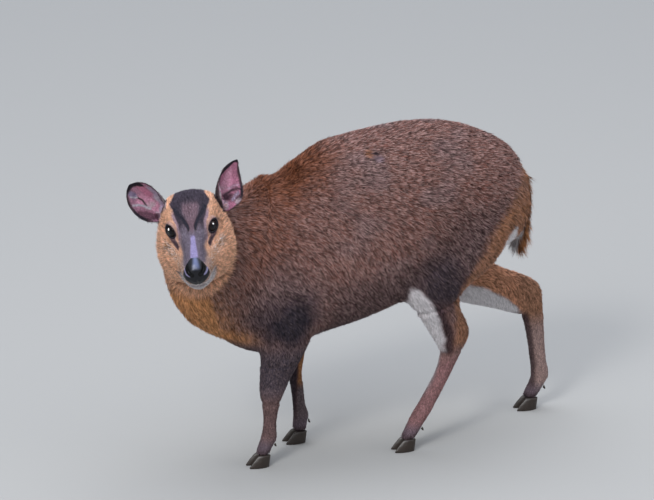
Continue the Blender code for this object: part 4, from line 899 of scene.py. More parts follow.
def gridNormals(grid):
    # Outward normals of a grid of points, rows along it and columns round it.
    along = np.gradient(grid, axis=0)
    around = np.roll(grid, -1, axis=1) - np.roll(grid, 1, axis=1)
    normals = unit(np.cross(along, around))
    middle = grid.mean(axis=1, keepdims=True)
    outward = ((grid - middle) * normals).sum()
    return normals if outward > 0 else -normals


def almond(angle):
    return np.sin(angle) * (1 - 0.22 * np.cos(angle) ** 4)


def headGrid():
    # Rows and columns stand closer at the eyes, the mouth and the nose.
    rows, across = skinLook["headRows"], skinLook["headAcross"]

    def spaced(count, low, high, weight):
        at = np.linspace(low, high, 2000)
        total = np.concatenate([[0], np.cumsum(weight(at[:-1]))])
        return np.interp(np.linspace(0, total[-1], count, endpoint=True), total, at)

    def rowWeight(f):
        return 0.75 + 0.9 * band(f, -0.014, 0.030, 0.006) + 1.6 * smooth(f, 0.040, 0.052)

    def eyeWeight(t):
        return 1 + 1.6 * (band(t, 1.1, 2.9, 0.2) + band(t, 7.1, 8.9, 0.2))

    def lipWeight(t):
        return 1 + 1.6 * band(t, 3.1, 6.9, 0.3)

    forward = spaced(rows, -0.085, 0.103, rowWeight)
    eyePlaces = spaced(across + 1, 0, 10, eyeWeight)[:-1]
    lipPlaces = spaced(across + 1, 0, 10, lipWeight)[:-1]
    lip = smooth(forward, 0.030, 0.060)[:, None]
    place = eyePlaces * (1 - lip) + lipPlaces * lip
    f = np.repeat(forward, across)
    points = aroundHead(f, place.ravel()).reshape(rows, across, 3)
    middle = points.mean(axis=1, keepdims=True)
    behind = fade(forward, -0.080, -0.058)[:, None, None]
    return middle + (points - middle) * (1 - 0.10 * behind)


def shapeEyes(points):
    # Raises the lids round each eye, with a crease above and a fold below.
    lidRadius = eye["radius"] + eye["lid"] + 0.003
    for side in (1, -1):
        centre, way = eyeFrame(side)
        a, b, out = ((points - centre) @ way).T
        reach = np.hypot(a / eye["halfWidth"], b / eye["halfHeight"])
        near = (out > -0.004) & (reach < 2.6)
        room = lidRadius**2 - (a / 1.08) ** 2 - b**2
        mound = np.where(room > 0, -0.003 + np.sqrt(np.clip(room, 0, None)), -1)
        gap = np.clip(0.0016 - np.abs(out - mound), 0, None)
        raised = np.maximum(out, mound) + gap**2 / 0.0064
        crease = -0.0008 * np.exp(-((reach - 1.66) / 0.13) ** 2) * smooth(b, 0.0, 0.005)
        fold = -0.0005 * np.exp(-((reach - 1.52) / 0.11) ** 2) * smooth(-b, 0.0, 0.005)
        out = np.where(near, raised + crease + fold, out)
        points = np.where(near[:, None], centre + np.column_stack([a, b, out]) @ way.T, points)
    return points


def groove(points, path, normals, depth, width, lip):
    # Presses a line into the skin, with a soft ridge on both sides.
    away = lineDistance(points, path)
    push = -depth * np.exp(-(away / width) ** 2) + lip * np.exp(-((away - 2.3 * width) / width) ** 2)
    return points + normals * push[:, None]


def headSkin():
    grid = headGrid()
    rows, across, _ = grid.shape
    normals = gridNormals(grid).reshape(-1, 3)
    points = grid.reshape(-1, 3)
    points = points - normals * coatDepth(fromHead(points))[:, None]
    f, l, u = points.T
    # Brow ridge, temple hollow, cheek bone and the flat side of the muzzle
    folded = np.column_stack([f, np.abs(l), u])
    relief = 0.0014 * blob(folded, (-0.004, 0.029, 0.040), (0.016, 0.008, 0.008), 0.6)
    relief = relief - 0.0012 * blob(folded, (0.030, 0.027, 0.012), (0.014, 0.010, 0.010), 0.6)
    relief = relief + 0.0008 * blob(folded, (0.012, 0.046, 0.006), (0.020, 0.008, 0.007), 0.6)
    relief = relief + 0.0004 * wander(fromHead(points), 0.011)[:, 0] * fade(f, 0.05, 0.07)
    points = points + normals * relief[:, None]
    points = shapeEyes(points)
    normals = gridNormals(points.reshape(rows, across, 3)).reshape(-1, 3)
    slits = [headPath(gland["slit"]), mirror(headPath(gland["slit"]))]
    line = headPath(mouth["line"], 40)
    lips = np.vstack([line, mirror(line)[::-1]])
    for path in slits:
        points = groove(points, path, normals, gland["depth"], gland["width"], 0.0005)
    points = groove(points, lips, normals, mouth["depth"], mouth["width"], 0.0004)
    for side in (1, -1):
        path = headTop([(f, widthAt(face["middle"], f) + side * half) for f, half in face["lines"]])
        points = groove(points, path - (0, 0, 0.0015), normals, brows["depth"], brows["width"], 0.0005)
    return loft("headSkin", fromHead(points).reshape(rows, across, 3))


def openEyes(head):
    # Cuts each socket and the almond opening between the lids.
    angle = np.linspace(0, 2 * math.pi, 84, endpoint=False)
    for side in (1, -1):
        centre, way = eyeFrame(side)
        socket = ball("socket", fromHead(centre), (eye["radius"] + 0.0001,) * 3, headTurn @ way, 64, 40)
        boolean(head, socket, "DIFFERENCE")
        rings = []
        for depth, spread in ((0.0005, 0.80), (0.0085, 0.97), (0.0130, 1.05), (0.022, 1.42)):
            ring = np.column_stack([eye["halfWidth"] * spread * np.cos(angle),
                                    eye["halfHeight"] * spread * almond(angle), np.full(84, depth)])
            rings.append(fromHead(centre + ring @ way.T))
        boolean(head, loft("lidOpening", rings), "DIFFERENCE")


def gridShell(name, outer, inner):
    # A closed thin wall between two grids of points.
    rows, across, _ = outer.shape
    under = rows * across
    face = gridFaces(rows, across, False)
    rim = [*range(across), *((i + 1) * across - 1 for i in range(1, rows)),
           *range(rows * across - 2, (rows - 1) * across - 1, -1),
           *(i * across for i in range(rows - 2, 0, -1))]
    edges = [(b, a, under + a, under + b) for a, b in zip(rim, rim[1:] + rim[:1])]
    return addMesh(name, [*outer.reshape(-1, 3), *inner.reshape(-1, 3)],
                   [*map(tuple, face), *map(tuple, (under + face)[:, ::-1]), *edges])


def earSkin(word):
    ear = ears[word]
    way = axes(ear["points"], ear["opens"])
    share = np.repeat(np.linspace(0, 1, ears["rows"]) ** 0.92, ears["across"])
    across = np.tile(np.linspace(-1, 1, ears["across"]), ears["rows"])
    radius, half, wall, middle, sway = earShape(share, ear)
    angle = half * across
    inset = ears["inset"] * smooth(share, 0.0, 0.15)
    wall = np.clip(wall - 2 * inset, 0.0007, None)
    edge = fade(np.abs(across), 0.90, 1.0)
    v = across * ear["outer"]
    # Long ridges inside the cup, and the fold over its pocket
    ridges = sum(0.00035 * np.exp(-((v - at) / 0.06) ** 2) for at in (-0.50, -0.25, 0.02, 0.30))
    ridges = ridges * band(share, 0.22, 0.80, 0.12)
    top = 0.15 + 0.55 * share
    fold = 0.0026 * np.exp(-((v - top) / 0.085) ** 2) * band(share, 0.08, 0.56, 0.07)
    sunk = 0.0010 * smooth(v - top, 0.05, 0.22) * fade(v, 0.75, 0.95) * band(share, 0.10, 0.50, 0.08)
    wave = 0.0010 * np.sin(share * 9 + 1.0) * smooth(np.abs(across), 0.70, 1.0) * smooth(share, 0.1, 0.3)
    shells = []
    for outer in (True, False):
        r = radius - inset - (0 if outer else wall) + wave
        r = r * (1 - 0.5 * wall / radius * np.abs(across) ** 6 * (1 if outer else -1))
        if not outer:
            r = r - (ridges + fold) * edge + 0.4 * sunk * edge
        place = np.column_stack([middle - r * np.cos(angle), sway + r * np.sin(angle),
                                 share * (ear["length"] - 0.0010)])
        shells.append(fromHead(ear["root"] + place @ way.T).reshape(ears["rows"], ears["across"], 3))
    made = gridShell("ear_" + word, *shells)
    foot = fromHead(ear["root"] + way[:, 2] * 0.001)
    stem = ball("stem", foot, (0.0105, 0.0105, 0.0115), headTurn @ way, 40, 24)
    boolean(made, stem, "UNION")
    return made


def noseCutter(spread):
    plan = [(forward - spread, half + spread) for forward, half in noseBlock["plan"]]
    plan = [*plan, *[(forward, -half) for forward, half in reversed(plan)]]
    rings = [fromHead([(forward, left, up) for forward, left in plan]) for up in (-0.04, 0.05)]
    block = loft("noseCutter", rings)
    front = [(left + spread, up - spread) for left, up in noseBlock["front"]]
    front = [*front, *[(-left, up) for left, up in reversed(front)]]
    rings = [fromHead([(forward, left, up) for left, up in front]) for forward in (0.07, 0.13)]
    boolean(block, loft("noseFront", rings), "INTERSECT")
    return block


skin = bodySkin()
head = headSkin()
openEyes(head)
boolean(head, noseCutter(-0.0008), "DIFFERENCE")
for word in ("left", "right"):
    boolean(head, earSkin(word), "UNION")
boolean(skin, head, "UNION")
skin.data.shade_smooth()
for name in ("torso", "neck", "head", "tail", "ear_left", "ear_right", *skinNodes[2:]):
    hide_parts(name)
print("stage: the skin has", len(skin.data.polygons), "faces")


# The nose pad

nose = {
    "voxel": 0.00042,
    "nostril": [  # forward, left, up and radius along the nostril's comma
        (0.0880, 0.0130, 0.0200, 0.0014), (0.0925, 0.0127, 0.0165, 0.0028), (0.0962, 0.0112, 0.0133, 0.0033),
        (0.0990, 0.0085, 0.0108, 0.0026), (0.1008, 0.0064, 0.0094, 0.0012)],
    "plateauHighlight": [(0.0160, 0.0062), (0.0190, 0.0056), (0.0262, 0.0030)],  # up, and half width of the painted highlight on its flat top
    # Painted highlight round the nostrils' rims, as a path of side and up
    "rim": [(0.0135, 0.0225), (0.0170, 0.0190), (0.0180, 0.0145), (0.0158, 0.0100), (0.0116, 0.0080)],
}


def tube(name, path, radii, sides=16):
    path = np.asarray(path, float)
    tangents = unit(np.gradient(path, axis=0))
    over = unit(np.cross(tangents, (0.13, 0.21, 0.97)))
    third = np.cross(tangents, over)
    turn = np.linspace(0, 2 * math.pi, sides, endpoint=False)
    rings = [p + r * (np.outer(np.cos(turn), a) + np.outer(np.sin(turn), b))
             for p, r, a, b in zip(path, np.broadcast_to(radii, len(path)), over, third)]
    return loft(name, rings)


def noseSkin():
    forward = np.linspace(0.070, 0.103, 90)
    places = np.linspace(0, 10, 200, endpoint=False)
    points = aroundHead(np.repeat(forward, 200), np.tile(places, 90)).reshape(90, 200, 3)
    normals = gridNormals(points).reshape(-1, 3)
    f, l, u = points.reshape(-1, 3).T
    side = np.abs(l)
    # Wings over the nostrils, a flat top, and the middle groove down to the lip
    push = 0.0010 * np.exp(-(((side - 0.0185) / 0.0040) ** 2 + ((u - 0.0105) / 0.0060) ** 2))
    push = push + 0.0007 * np.exp(-(((side - 0.0060) / 0.0050) ** 2 + ((u - 0.0150) / 0.0060) ** 2))
    push = push - 0.0012 * np.exp(-(side / 0.0009) ** 2) * fade(u, 0.003, 0.009)
    push = push - 0.0005 * np.exp(-(side / 0.0030) ** 2) * fade(u, 0.006, 0.014)
    points = points.reshape(-1, 3) + normals * push[:, None]
    pad = loft("nose_pad_skin", fromHead(points).reshape(90, 200, 3))
    boolean(pad, noseCutter(0.0), "INTERSECT")
    rows = curve([(i, *row) for i, row in enumerate(nose["nostril"])], np.linspace(0, 4, 26))
    for side in (1, -1):
        boolean(pad, tube("nostril", fromHead(rows[:, :3] * (1, side, 1)), rows[:, 3]), "DIFFERENCE")
    remesh(pad, nose["voxel"])
    soften(pad, 6)
    pad.data.shade_smooth()
    f, l, u = toHead(pointsOf(pad)).T
    side = np.abs(l - 0.0013)
    # Painted highlight on the flat top and round the nostrils' rims, and painted shade in the nostrils
    plateauHighlight = fade(side - widthAt(nose["plateauHighlight"], u), -0.0028, 0.0026) * smooth(u, 0.0150, 0.0225)
    rim = fade(lineDistance(np.column_stack([side, u]), np.array(nose["rim"])), 0.0004, 0.0023)
    nostrilShade = fade(lineDistance(np.column_stack([f, np.abs(l), u]), rows[:, :3]), 0.0034, 0.0042)
    setAttribute(pad.data, "padPaintedLight", np.column_stack([plateauHighlight, rim * (1 - nostrilShade), nostrilShade]))
    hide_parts("nose_pad")
    return pad


nosePad = noseSkin()
print("stage: the nose has", len(nosePad.data.polygons), "faces")


# Hooves and dew claws, worn round at their edges

def hornCopy(name):
    mesh = nodes[name].data.copy()
    made = bpy.data.objects.new(name + "_horn", mesh)
    bpy.context.scene.collection.objects.link(made)
    remesh(made, 0.0008)
    points = pointsOf(made)
    soften(made, 6, smooth(points[:, 2], 0.0006, 0.0030))
    made.data.shade_smooth()
    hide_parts(name)
    return made


horns = [hornCopy(name) for name in nodes if "hoof" in name or "claw" in name]


# The eyes, the lids' edges, the lashes and the whiskers

lash = {"perEye": 34, "length": 0.0072, "radius": 0.00013}
whisker = {"perSide": 11, "length": 0.017, "radius": 0.00009}


def joinTubes(name, paths, radius, sides=4):
    # Many tapered hairs in one mesh.
    points, faces = [], []
    for path in paths:
        path = np.asarray(path, float)
        tangents = unit(np.gradient(path, axis=0))
        over = unit(np.cross(tangents, (0.13, 0.21, 0.97)))
        third = np.cross(tangents, over)
        turn = np.linspace(0, 2 * math.pi, sides, endpoint=False)
        first = len(points)
        for i, (p, a, b) in enumerate(zip(path, over, third)):
            r = radius * (1 - 0.9 * i / (len(path) - 1))
            points.extend(p + r * (np.outer(np.cos(turn), a) + np.outer(np.sin(turn), b)))
        faces.extend(tuple(first + f) for f in gridFaces(len(path), sides))
        faces.append(tuple(first + np.arange(sides)))
        faces.append(tuple(first + (len(path) - 1) * sides + np.arange(sides)))
    return addMesh(name, points, faces)


def makeEye(word, side):
    centre, way = eyeFrame(side)
    made = ball("eyeball_" + word, fromHead(centre), (eye["radius"],) * 3, headTurn @ way, 72, 48)
    points = pointsOf(made)
    local = (toHead(points) - centre) @ way
    reach = np.hypot(local[:, 0], local[:, 1]) / eye["radius"]
    front = local[:, 2] > 0
    bulge = 0.00035 * np.clip(1 - (reach / 0.72) ** 2, 0, None) * front
    putPoints(made, points + unit(points - fromHead(centre)) * bulge[:, None])
    spread = np.column_stack([local[:, :2] / eye["radius"], np.where(front, reach, 1)])
    setAttribute(made.data, "iris", spread)
    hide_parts("eye_" + word)
    return made


def lidLine(side, spread, lift, angle):
    # Points along the lids' edges, on the eyeball, at the given angles round the opening.
    centre, way = eyeFrame(side)
    a = eye["halfWidth"] * spread * np.cos(angle)
    b = eye["halfHeight"] * spread * almond(angle)
    out = np.sqrt((eye["radius"] + lift) ** 2 - a**2 - b**2)
    return centre + np.column_stack([a, b, out]) @ way.T


def lidRims():
    points, faces = [], []
    turn = np.linspace(0, 2 * math.pi, 10, endpoint=False)
    for side in (1, -1):
        path = lidLine(side, 0.97, 0.0007, np.linspace(0, 2 * math.pi, 84, endpoint=False))
        outward = unit(path - eyeFrame(side)[0])
        tangents = unit(np.roll(path, -1, axis=0) - np.roll(path, 1, axis=0))
        across = np.cross(tangents, outward)
        first = len(points)
        for p, a, b in zip(path, across, outward):
            ring = 0.00085 * np.outer(np.cos(turn), a) + 0.00065 * np.outer(np.sin(turn), b)
            points.extend(fromHead(p + ring))
        count = len(path)
        i, j = np.meshgrid(np.arange(count), np.arange(10), indexing="ij")
        i, j = i.ravel(), j.ravel()
        ni, nj = (i + 1) % count, (j + 1) % 10
        quads = np.column_stack([i * 10 + j, i * 10 + nj, ni * 10 + nj, ni * 10 + j])
        faces.extend(map(tuple, first + quads))
    return addMesh("lidRims", points, faces)


def lashes():
    paths = []
    for side in (1, -1):
        _, way = eyeFrame(side)
        # The outer corner is behind the eye, at the angle of half a turn
        for angle in np.linspace(0.30 * math.pi, 1.02 * math.pi, lash["perEye"]):
            root = lidLine(side, 1.0, 0.0012, np.array([angle + dice.normal(0, 0.02)]))[0]
            outer = smooth(angle, 0.35 * math.pi, 0.95 * math.pi)
            length = lash["length"] * (0.45 + 0.65 * outer) * dice.uniform(0.8, 1.15)
            bent = -0.35 - 0.75 * outer + dice.normal(0, 0.10)
            away = unit(way @ np.array([bent, 0.55 - 0.45 * outer, 0.75]))
            droop = way @ np.array([-0.35 * outer, -0.10 - 0.45 * outer, -0.15])
            steps = np.linspace(0, 1, 6)[:, None]
            paths.append(fromHead(root + away * length * steps + droop * length * steps**2))
    return joinTubes("eyelashes", paths, lash["radius"])


def whiskers():
    paths = []
    for side in (1, -1):
        for _ in range(whisker["perSide"]):
            f, place = dice.uniform(0.070, 0.092), dice.uniform(2.5, 3.6)
            root = aroundHead(np.array([f]), np.array([place]))[0] * (1, side, 1)
            away = unit(np.array([-0.15 + dice.normal(0, 0.2), side * 1.0, -0.35 + dice.normal(0, 0.25)]))
            length = whisker["length"] * dice.uniform(0.5, 1.1)
            steps = np.linspace(0, 1, 7)[:, None]
            bend = np.array([-0.5, 0, -0.35])
            paths.append(fromHead(root - away * 0.001 + away * length * steps + bend * length * steps**2))
    return joinTubes("whiskers", paths, whisker["radius"])


eyeballs = [makeEye("left", 1), makeEye("right", -1)]
rims = lidRims()
lashHairs = lashes()
whiskerHairs = whiskers()
print("stage: the eyes are set")


# The coat, as thin tufts rooted on the skin

def unwrap(obj):
    # An unwrap of the skin's own shape, for the export.
    bpy.ops.object.select_all(action="DESELECT")
    obj.select_set(True)
    bpy.context.view_layer.objects.active = obj
    obj.data.uv_layers.new(name="OFBake")
    bpy.ops.object.mode_set(mode="EDIT")
    bpy.ops.mesh.select_all(action="SELECT")
    bpy.ops.uv.smart_project(angle_limit=1.15, island_margin=0.002)
    bpy.ops.object.mode_set(mode="OBJECT")


def sampleRoots(obj):
    mesh = obj.data
    mesh.calc_loop_triangles()
    count = len(mesh.loop_triangles)
    corner, loops, area = np.empty(count * 3, int), np.empty(count * 3, int), np.empty(count)
    mesh.loop_triangles.foreach_get("vertices", corner)
    mesh.loop_triangles.foreach_get("loops", loops)
    mesh.loop_triangles.foreach_get("area", area)
    corner, loops = corner.reshape(-1, 3), loops.reshape(-1, 3)
    uv = np.empty(len(mesh.loops) * 2)
    mesh.uv_layers["OFBake"].data.foreach_get("uv", uv)
    uv = uv.reshape(-1, 2)
    points, normals = pointsOf(obj), normalsOf(obj)
    growth = coatPlan(points[corner].mean(axis=1))[3]
    total = np.cumsum(area * growth * 1e4 * tuftShare)
    number = int(total[-1])
    tri = np.searchsorted(total, (np.arange(number) + dice.uniform(0, 1, number)) * total[-1] / number)
    tri = np.clip(tri, 0, count - 1)
    a, b = dice.uniform(0, 1, number), dice.uniform(0, 1, number)
    over = a + b > 1
    a, b = np.where(over, 1 - a, a), np.where(over, 1 - b, b)
    weight = np.column_stack([1 - a - b, a, b])[:, :, None]
    return ((points[corner[tri]] * weight).sum(axis=1), unit((normals[corner[tri]] * weight).sum(axis=1)),
            (uv[loops[tri]] * weight).sum(axis=1))


def tuftMesh(name, points, normals, uv, warm, cool, bare, strand):
    # Five points to a tuft: two at its root, two half way and its tip.
    count = len(points)
    mesh = bpy.data.meshes.new(name)
    mesh.vertices.add(count * 5)
    mesh.vertices.foreach_set("co", points.astype(np.float32).ravel())
    corners = np.array([0, 2, 3, 1, 2, 4, 3])
    loops = (np.arange(count)[:, None] * 5 + corners).ravel()
    mesh.loops.add(len(loops))
    mesh.loops.foreach_set("vertex_index", loops.astype(np.int32))
    mesh.polygons.add(count * 2)
    starts = (np.arange(count)[:, None] * 7 + [0, 4]).ravel()
    mesh.polygons.foreach_set("loop_start", starts.astype(np.int32))
    mesh.polygons.foreach_set("use_smooth", np.ones(count * 2, bool))
    mesh.update(calc_edges=True)
    spots = np.array([(-1, -1), (1, -1), (-0.8, 0.1), (0.8, 0.1), (0, 1)]) * coat["patch"]
    layer = mesh.uv_layers.new(name="OFBake")
    placed = uv[:, None, :] + spots
    layer.data.foreach_set("uv", placed.reshape(-1, 2)[loops].astype(np.float32).ravel())
    for key, values in (("marksWarm", warm), ("marksCool", cool), ("marksBare", bare)):
        setAttribute(mesh, key, np.repeat(values, 5, axis=0))
    setAttribute(mesh, "strand", strand.reshape(-1, 3))
    mesh.normals_split_custom_set_from_vertices(normals.reshape(-1, 3).astype(np.float32))
    made = bpy.data.objects.new(name, mesh)
    bpy.context.scene.collection.objects.link(made)
    return made


def growCoat(obj):
    roots, normals, uv = sampleRoots(obj)
    number = len(roots)
    print("stage: the coat has", number, "roots")
    length, width, lift, _, piece = coatPlan(roots)
    way = lie(roots, normals)
    # Neighbours gather into clumps that lean and shade alike
    cell = np.floor((roots + 0.6 * coat["clump"] * wander(roots, 0.02)) / coat["clump"]).astype(int)
    _, group = np.unique(cell @ np.array([1, 1009, 1018081]), return_inverse=True)
    groups = group.max() + 1
    share = np.bincount(group, minlength=groups)
    middle = np.column_stack([np.bincount(group, roots[:, k], groups) / share for k in range(3)])[group]
    drift = dice.normal(0, 1, (groups, 3))[group]
    groupShade = dice.uniform(-1, 1, groups)[group]
    cell = np.floor(roots / coat["lock"]).astype(int)
    _, lock = np.unique(cell @ np.array([1, 2003, 4012009]), return_inverse=True)
    lockShade = dice.uniform(-1, 1, lock.max() + 1)[lock]
    gather = (middle - roots) * coat["gather"]
    gather = gather - normals * (gather * normals).sum(axis=1, keepdims=True)
    gather = gather * np.clip(length / 0.012, 0.1, 1)[:, None]
    lean = 0.10 * drift + 0.13 * dice.normal(0, 1, (number, 3))
    way = unit(way + lean - normals * (lean * normals).sum(axis=1, keepdims=True))
    length = length * dice.uniform(0.72, 1.12, number) * (1 + 0.08 * drift[:, 0])
    lift = lift * (1 + 0.25 * dice.normal(0, 1, number) + 0.12 * drift[:, 1])
    lift = np.clip(lift, 0.05, 1.1)
    width = width * dice.uniform(0.75, 1.25, number)
    early, late = np.clip(lift * 1.35, 0, 1.2), lift * 0.72

    def rise(angle):
        return way * np.cos(angle)[:, None] + normals * np.sin(angle)[:, None]

    start = roots - normals * 0.0004
    half = start + rise(early) * (0.5 * length)[:, None] + 0.35 * gather
    tip = half + rise(late) * (0.5 * length)[:, None] + 0.65 * gather
    turn = np.radians(coat["twist"]) * dice.uniform(-1, 1, number)
    across = np.cross(normals, way)
    across = across * np.cos(turn)[:, None] + normals * np.sin(turn)[:, None]
    wide = across * (width / 2)[:, None]
    points = np.stack([start - wide, start + wide, half - 0.8 * wide, half + 0.8 * wide, tip], axis=1)
    face = unit(np.cross(way, across))
    face = face * np.sign((face * normals).sum(axis=1, keepdims=True) + 1e-9)
    soft = unit(normals * 0.9 + face * 0.45 - way * 0.10)
    tipNormals = unit(soft + 0.35 * way * np.sin(lift)[:, None])
    shading = np.stack([normals, normals, soft, soft, tipNormals], axis=1)
    warm, cool, bare = markings(half)
    shade = (0.14 * groupShade + 0.68 * lockShade) * np.clip(length / 0.010, 0.3, 1)
    shade = shade + 0.18 * dice.normal(0, 1, number)
    shade = np.clip(0.5 + shade * (1 - 0.75 * warm[:, 2]), 0, 1)
    speck = dice.uniform(0, 1, number)
    strand = [np.column_stack([shade, np.full(number, along), speck]) for along in (0, 0, 0.5, 0.5, 1)]
    strand = np.stack(strand, axis=1)
    pieces = []
    for index, name in enumerate(regions):
        kept = piece == index
        if kept.any():
            parts = [part[kept] for part in (points, shading, uv, warm, cool, bare, strand)]
            pieces.append(tuftMesh(name, *parts))
            print("stage:", name, "has", int(kept.sum()), "tufts")
    return pieces


unwrap(skin)
marks = markings(pointsOf(skin))
for name, values in zip(("marksWarm", "marksCool", "marksBare"), marks):
    setAttribute(skin.data, name, values)
coatPieces = growCoat(skin)


# Finishes

pigments = {
    "Brown": (0.205, 0.104, 0.095), "Russet": (0.185, 0.058, 0.020), "Ochre": (0.800, 0.400, 0.170),
    "Pale": (0.800, 0.780, 0.800), "Dark": (0.024, 0.022, 0.034), "Ash": (0.200, 0.165, 0.180),
    # Root darkens the roots, partly as painted shade between the hairs; Tip is the pale tips' colour, partly
    # a painted highlight
    "Lilac": (0.335, 0.295, 0.520), "Pink": (0.720, 0.270, 0.430), "Root": (0.300, 0.200, 0.190),
    "Tip": (0.470, 0.325, 0.300),
}
finishes = {
    # The coat's darker roots are partly painted shade, and its pale tips partly a painted highlight
    "coat": {"Root shade and tone": 0.85, "Tip paleness and highlight": 0.60, "roughness": 0.66, "specular": 0.11, "sheen": 0.02},
    "skin": {"Root shade and tone": 0.0, "Tip paleness and highlight": 0.0, "roughness": 0.80, "specular": 0.10, "sheen": 0.0},
    # The nose's pale top and rim colours are painted highlight, and its nostril colour is painted shade
    "nose": {"nostrilShade": (0.0015, 0.0015, 0.002), "base": (0.006, 0.006, 0.009), "plateauHighlight": (0.105, 0.125, 0.230),
             "rim": (0.190, 0.175, 0.300), "roughness": 0.34},
    "eye": {"pupil": (0.003, 0.003, 0.004), "iris": (0.008, 0.004, 0.003)},
    "lids": {"colour": (0.010, 0.009, 0.010), "roughness": 0.40},
    "horn": {"colour": (0.024, 0.016, 0.012), "roughness": 0.40},
    "lash": {"colour": (0.008, 0.006, 0.006), "roughness": 0.5},
}


def makeCoatColour():
    # Mixes the coat's pigments by the marks, darker and redder at the root, partly the hairs' own darker base
    # and partly painted shade between the hairs, and paler at some tips, partly the hairs' own pale bands and
    # partly a painted highlight on their tips.
    tree = bpy.data.node_groups.new("coatColour", "ShaderNodeTree")
    for name in ("Warm marks", "Cool marks", "Bare marks"):
        tree.interface.new_socket(name=name, in_out="INPUT", socket_type="NodeSocketVector")
    for name in pigments:
        tree.interface.new_socket(name=name, in_out="INPUT", socket_type="NodeSocketColor")
    for name in ("Shade", "Along", "Speck", "Root shade and tone", "Tip paleness and highlight"):
        socket = tree.interface.new_socket(name=name, in_out="INPUT", socket_type="NodeSocketFloat")
        socket.default_value = 0.5
    tree.interface.new_socket(name="Color", in_out="OUTPUT", socket_type="NodeSocketColor")
    into, out = tree.nodes.new("NodeGroupInput").outputs, tree.nodes.new("NodeGroupOutput")

    def put(value, socket):
        if hasattr(value, "is_output"):
            tree.links.new(value, socket)
        else:
            socket.default_value = value

    def split(name):
        node = tree.nodes.new("ShaderNodeSeparateXYZ")
        put(into[name], node.inputs[0])
        return node.outputs

    def mix(factor, a, b, kind="MIX"):
        node = tree.nodes.new("ShaderNodeMix")
        node.data_type = "RGBA"
        node.blend_type = kind
        put(factor, node.inputs["Factor"])
        put(a, node.inputs["A"])
        put(b, node.inputs["B"])
        return node.outputs["Result"]

    def maths(operation, *values):
        node = tree.nodes.new("ShaderNodeMath")
        node.operation = operation
        for value, socket in zip(values, node.inputs):
            put(value, socket)
        return node.outputs[0]

    warm, cool, bare = split("Warm marks"), split("Cool marks"), split("Bare marks")
    colour = mix(warm[0], into["Brown"], into["Russet"])
    for mask, name in ((warm[1], "Ochre"), (cool[1], "Ash"), (cool[2], "Lilac"), (bare[0], "Pink"),
                       (cool[0], "Dark"), (warm[2], "Pale")):
        colour = mix(mask, colour, into[name])
    # Pale and dark flecks, hair by hair
    colour = mix(maths("MULTIPLY", bare[1], maths("GREATER_THAN", into["Speck"], 0.66)), colour, into["Pale"])
    dark = maths("MULTIPLY", bare[1], maths("LESS_THAN", into["Speck"], 0.20))
    colour = mix(maths("MULTIPLY", dark, 0.8), colour, into["Dark"])
    # Darker toward each root: the hairs' own darker base and painted shade between the hairs
    rooted = maths("MULTIPLY", maths("SUBTRACT", 1.0, into["Along"]), into["Root shade and tone"])
    rooted = maths("MULTIPLY", rooted, maths("MULTIPLY_ADD", bare[2], 0.6, 0.4))
    colour = mix(rooted, colour, into["Root"], "MULTIPLY")
    # Pale tips on some hairs: their own pale bands and a painted highlight
    tipped = maths("MULTIPLY", maths("GREATER_THAN", into["Speck"], 0.48), maths("POWER", into["Along"], 0.9))
    tipped = maths("MULTIPLY", maths("MULTIPLY", tipped, bare[2]), into["Tip paleness and highlight"])
    colour = mix(tipped, colour, into["Tip"])
    lit = tree.nodes.new("ShaderNodeVectorMath")
    lit.operation = "SCALE"
    put(colour, lit.inputs[0])
    put(maths("MULTIPLY_ADD", into["Shade"], 1.3, 0.35), lit.inputs["Scale"])
    put(lit.outputs[0], out.inputs["Color"])
    return tree


coatColour = makeCoatColour()


def newMaterial(name):
    made = bpy.data.materials.new(name)
    made.use_nodes = True
    return made, made.node_tree, made.node_tree.nodes["Principled BSDF"]


def attribute(tree, name):
    node = tree.nodes.new("ShaderNodeAttribute")
    node.attribute_name = name
    return node.outputs["Vector"]


def coatMaterial(name, finish, tufts):
    made, tree, shader = newMaterial(name)
    group = tree.nodes.new("ShaderNodeGroup")
    group.node_tree = coatColour
    for mark, name in (("Warm marks", "marksWarm"), ("Cool marks", "marksCool"), ("Bare marks", "marksBare")):
        tree.links.new(attribute(tree, name), group.inputs[mark])
    for name, colour in pigments.items():
        group.inputs[name].default_value = (*colour, 1)
    for name in ("Root shade and tone", "Tip paleness and highlight"):
        group.inputs[name].default_value = finish[name]
    if tufts:
        split = tree.nodes.new("ShaderNodeSeparateXYZ")
        tree.links.new(attribute(tree, "strand"), split.inputs[0])
        for index, name in enumerate(("Shade", "Along", "Speck")):
            tree.links.new(split.outputs[index], group.inputs[name])
    else:
        place = tree.nodes.new("ShaderNodeTexCoord")
        noise = tree.nodes.new("ShaderNodeTexNoise")
        noise.inputs["Scale"].default_value = 420
        noise.inputs["Detail"].default_value = 3
        tree.links.new(place.outputs["Object"], noise.inputs["Vector"])
        ramp = tree.nodes.new("ShaderNodeMapRange")
        ramp.inputs["To Min"].default_value = -0.15
        ramp.inputs["To Max"].default_value = 0.55
        tree.links.new(noise.outputs["Fac"], ramp.inputs["Value"])
        tree.links.new(ramp.outputs[0], group.inputs["Shade"])
        bump = tree.nodes.new("ShaderNodeBump")
        bump.inputs["Strength"].default_value = 0.5
        bump.inputs["Distance"].default_value = 0.0006
        tree.links.new(noise.outputs["Fac"], bump.inputs["Height"])
        tree.links.new(bump.outputs[0], shader.inputs["Normal"])
    tree.links.new(group.outputs["Color"], shader.inputs["Base Color"])
    shader.inputs["Roughness"].default_value = finish["roughness"]
    shader.inputs["Specular IOR Level"].default_value = finish["specular"]
    shader.inputs["Sheen Weight"].default_value = finish["sheen"]
    return made


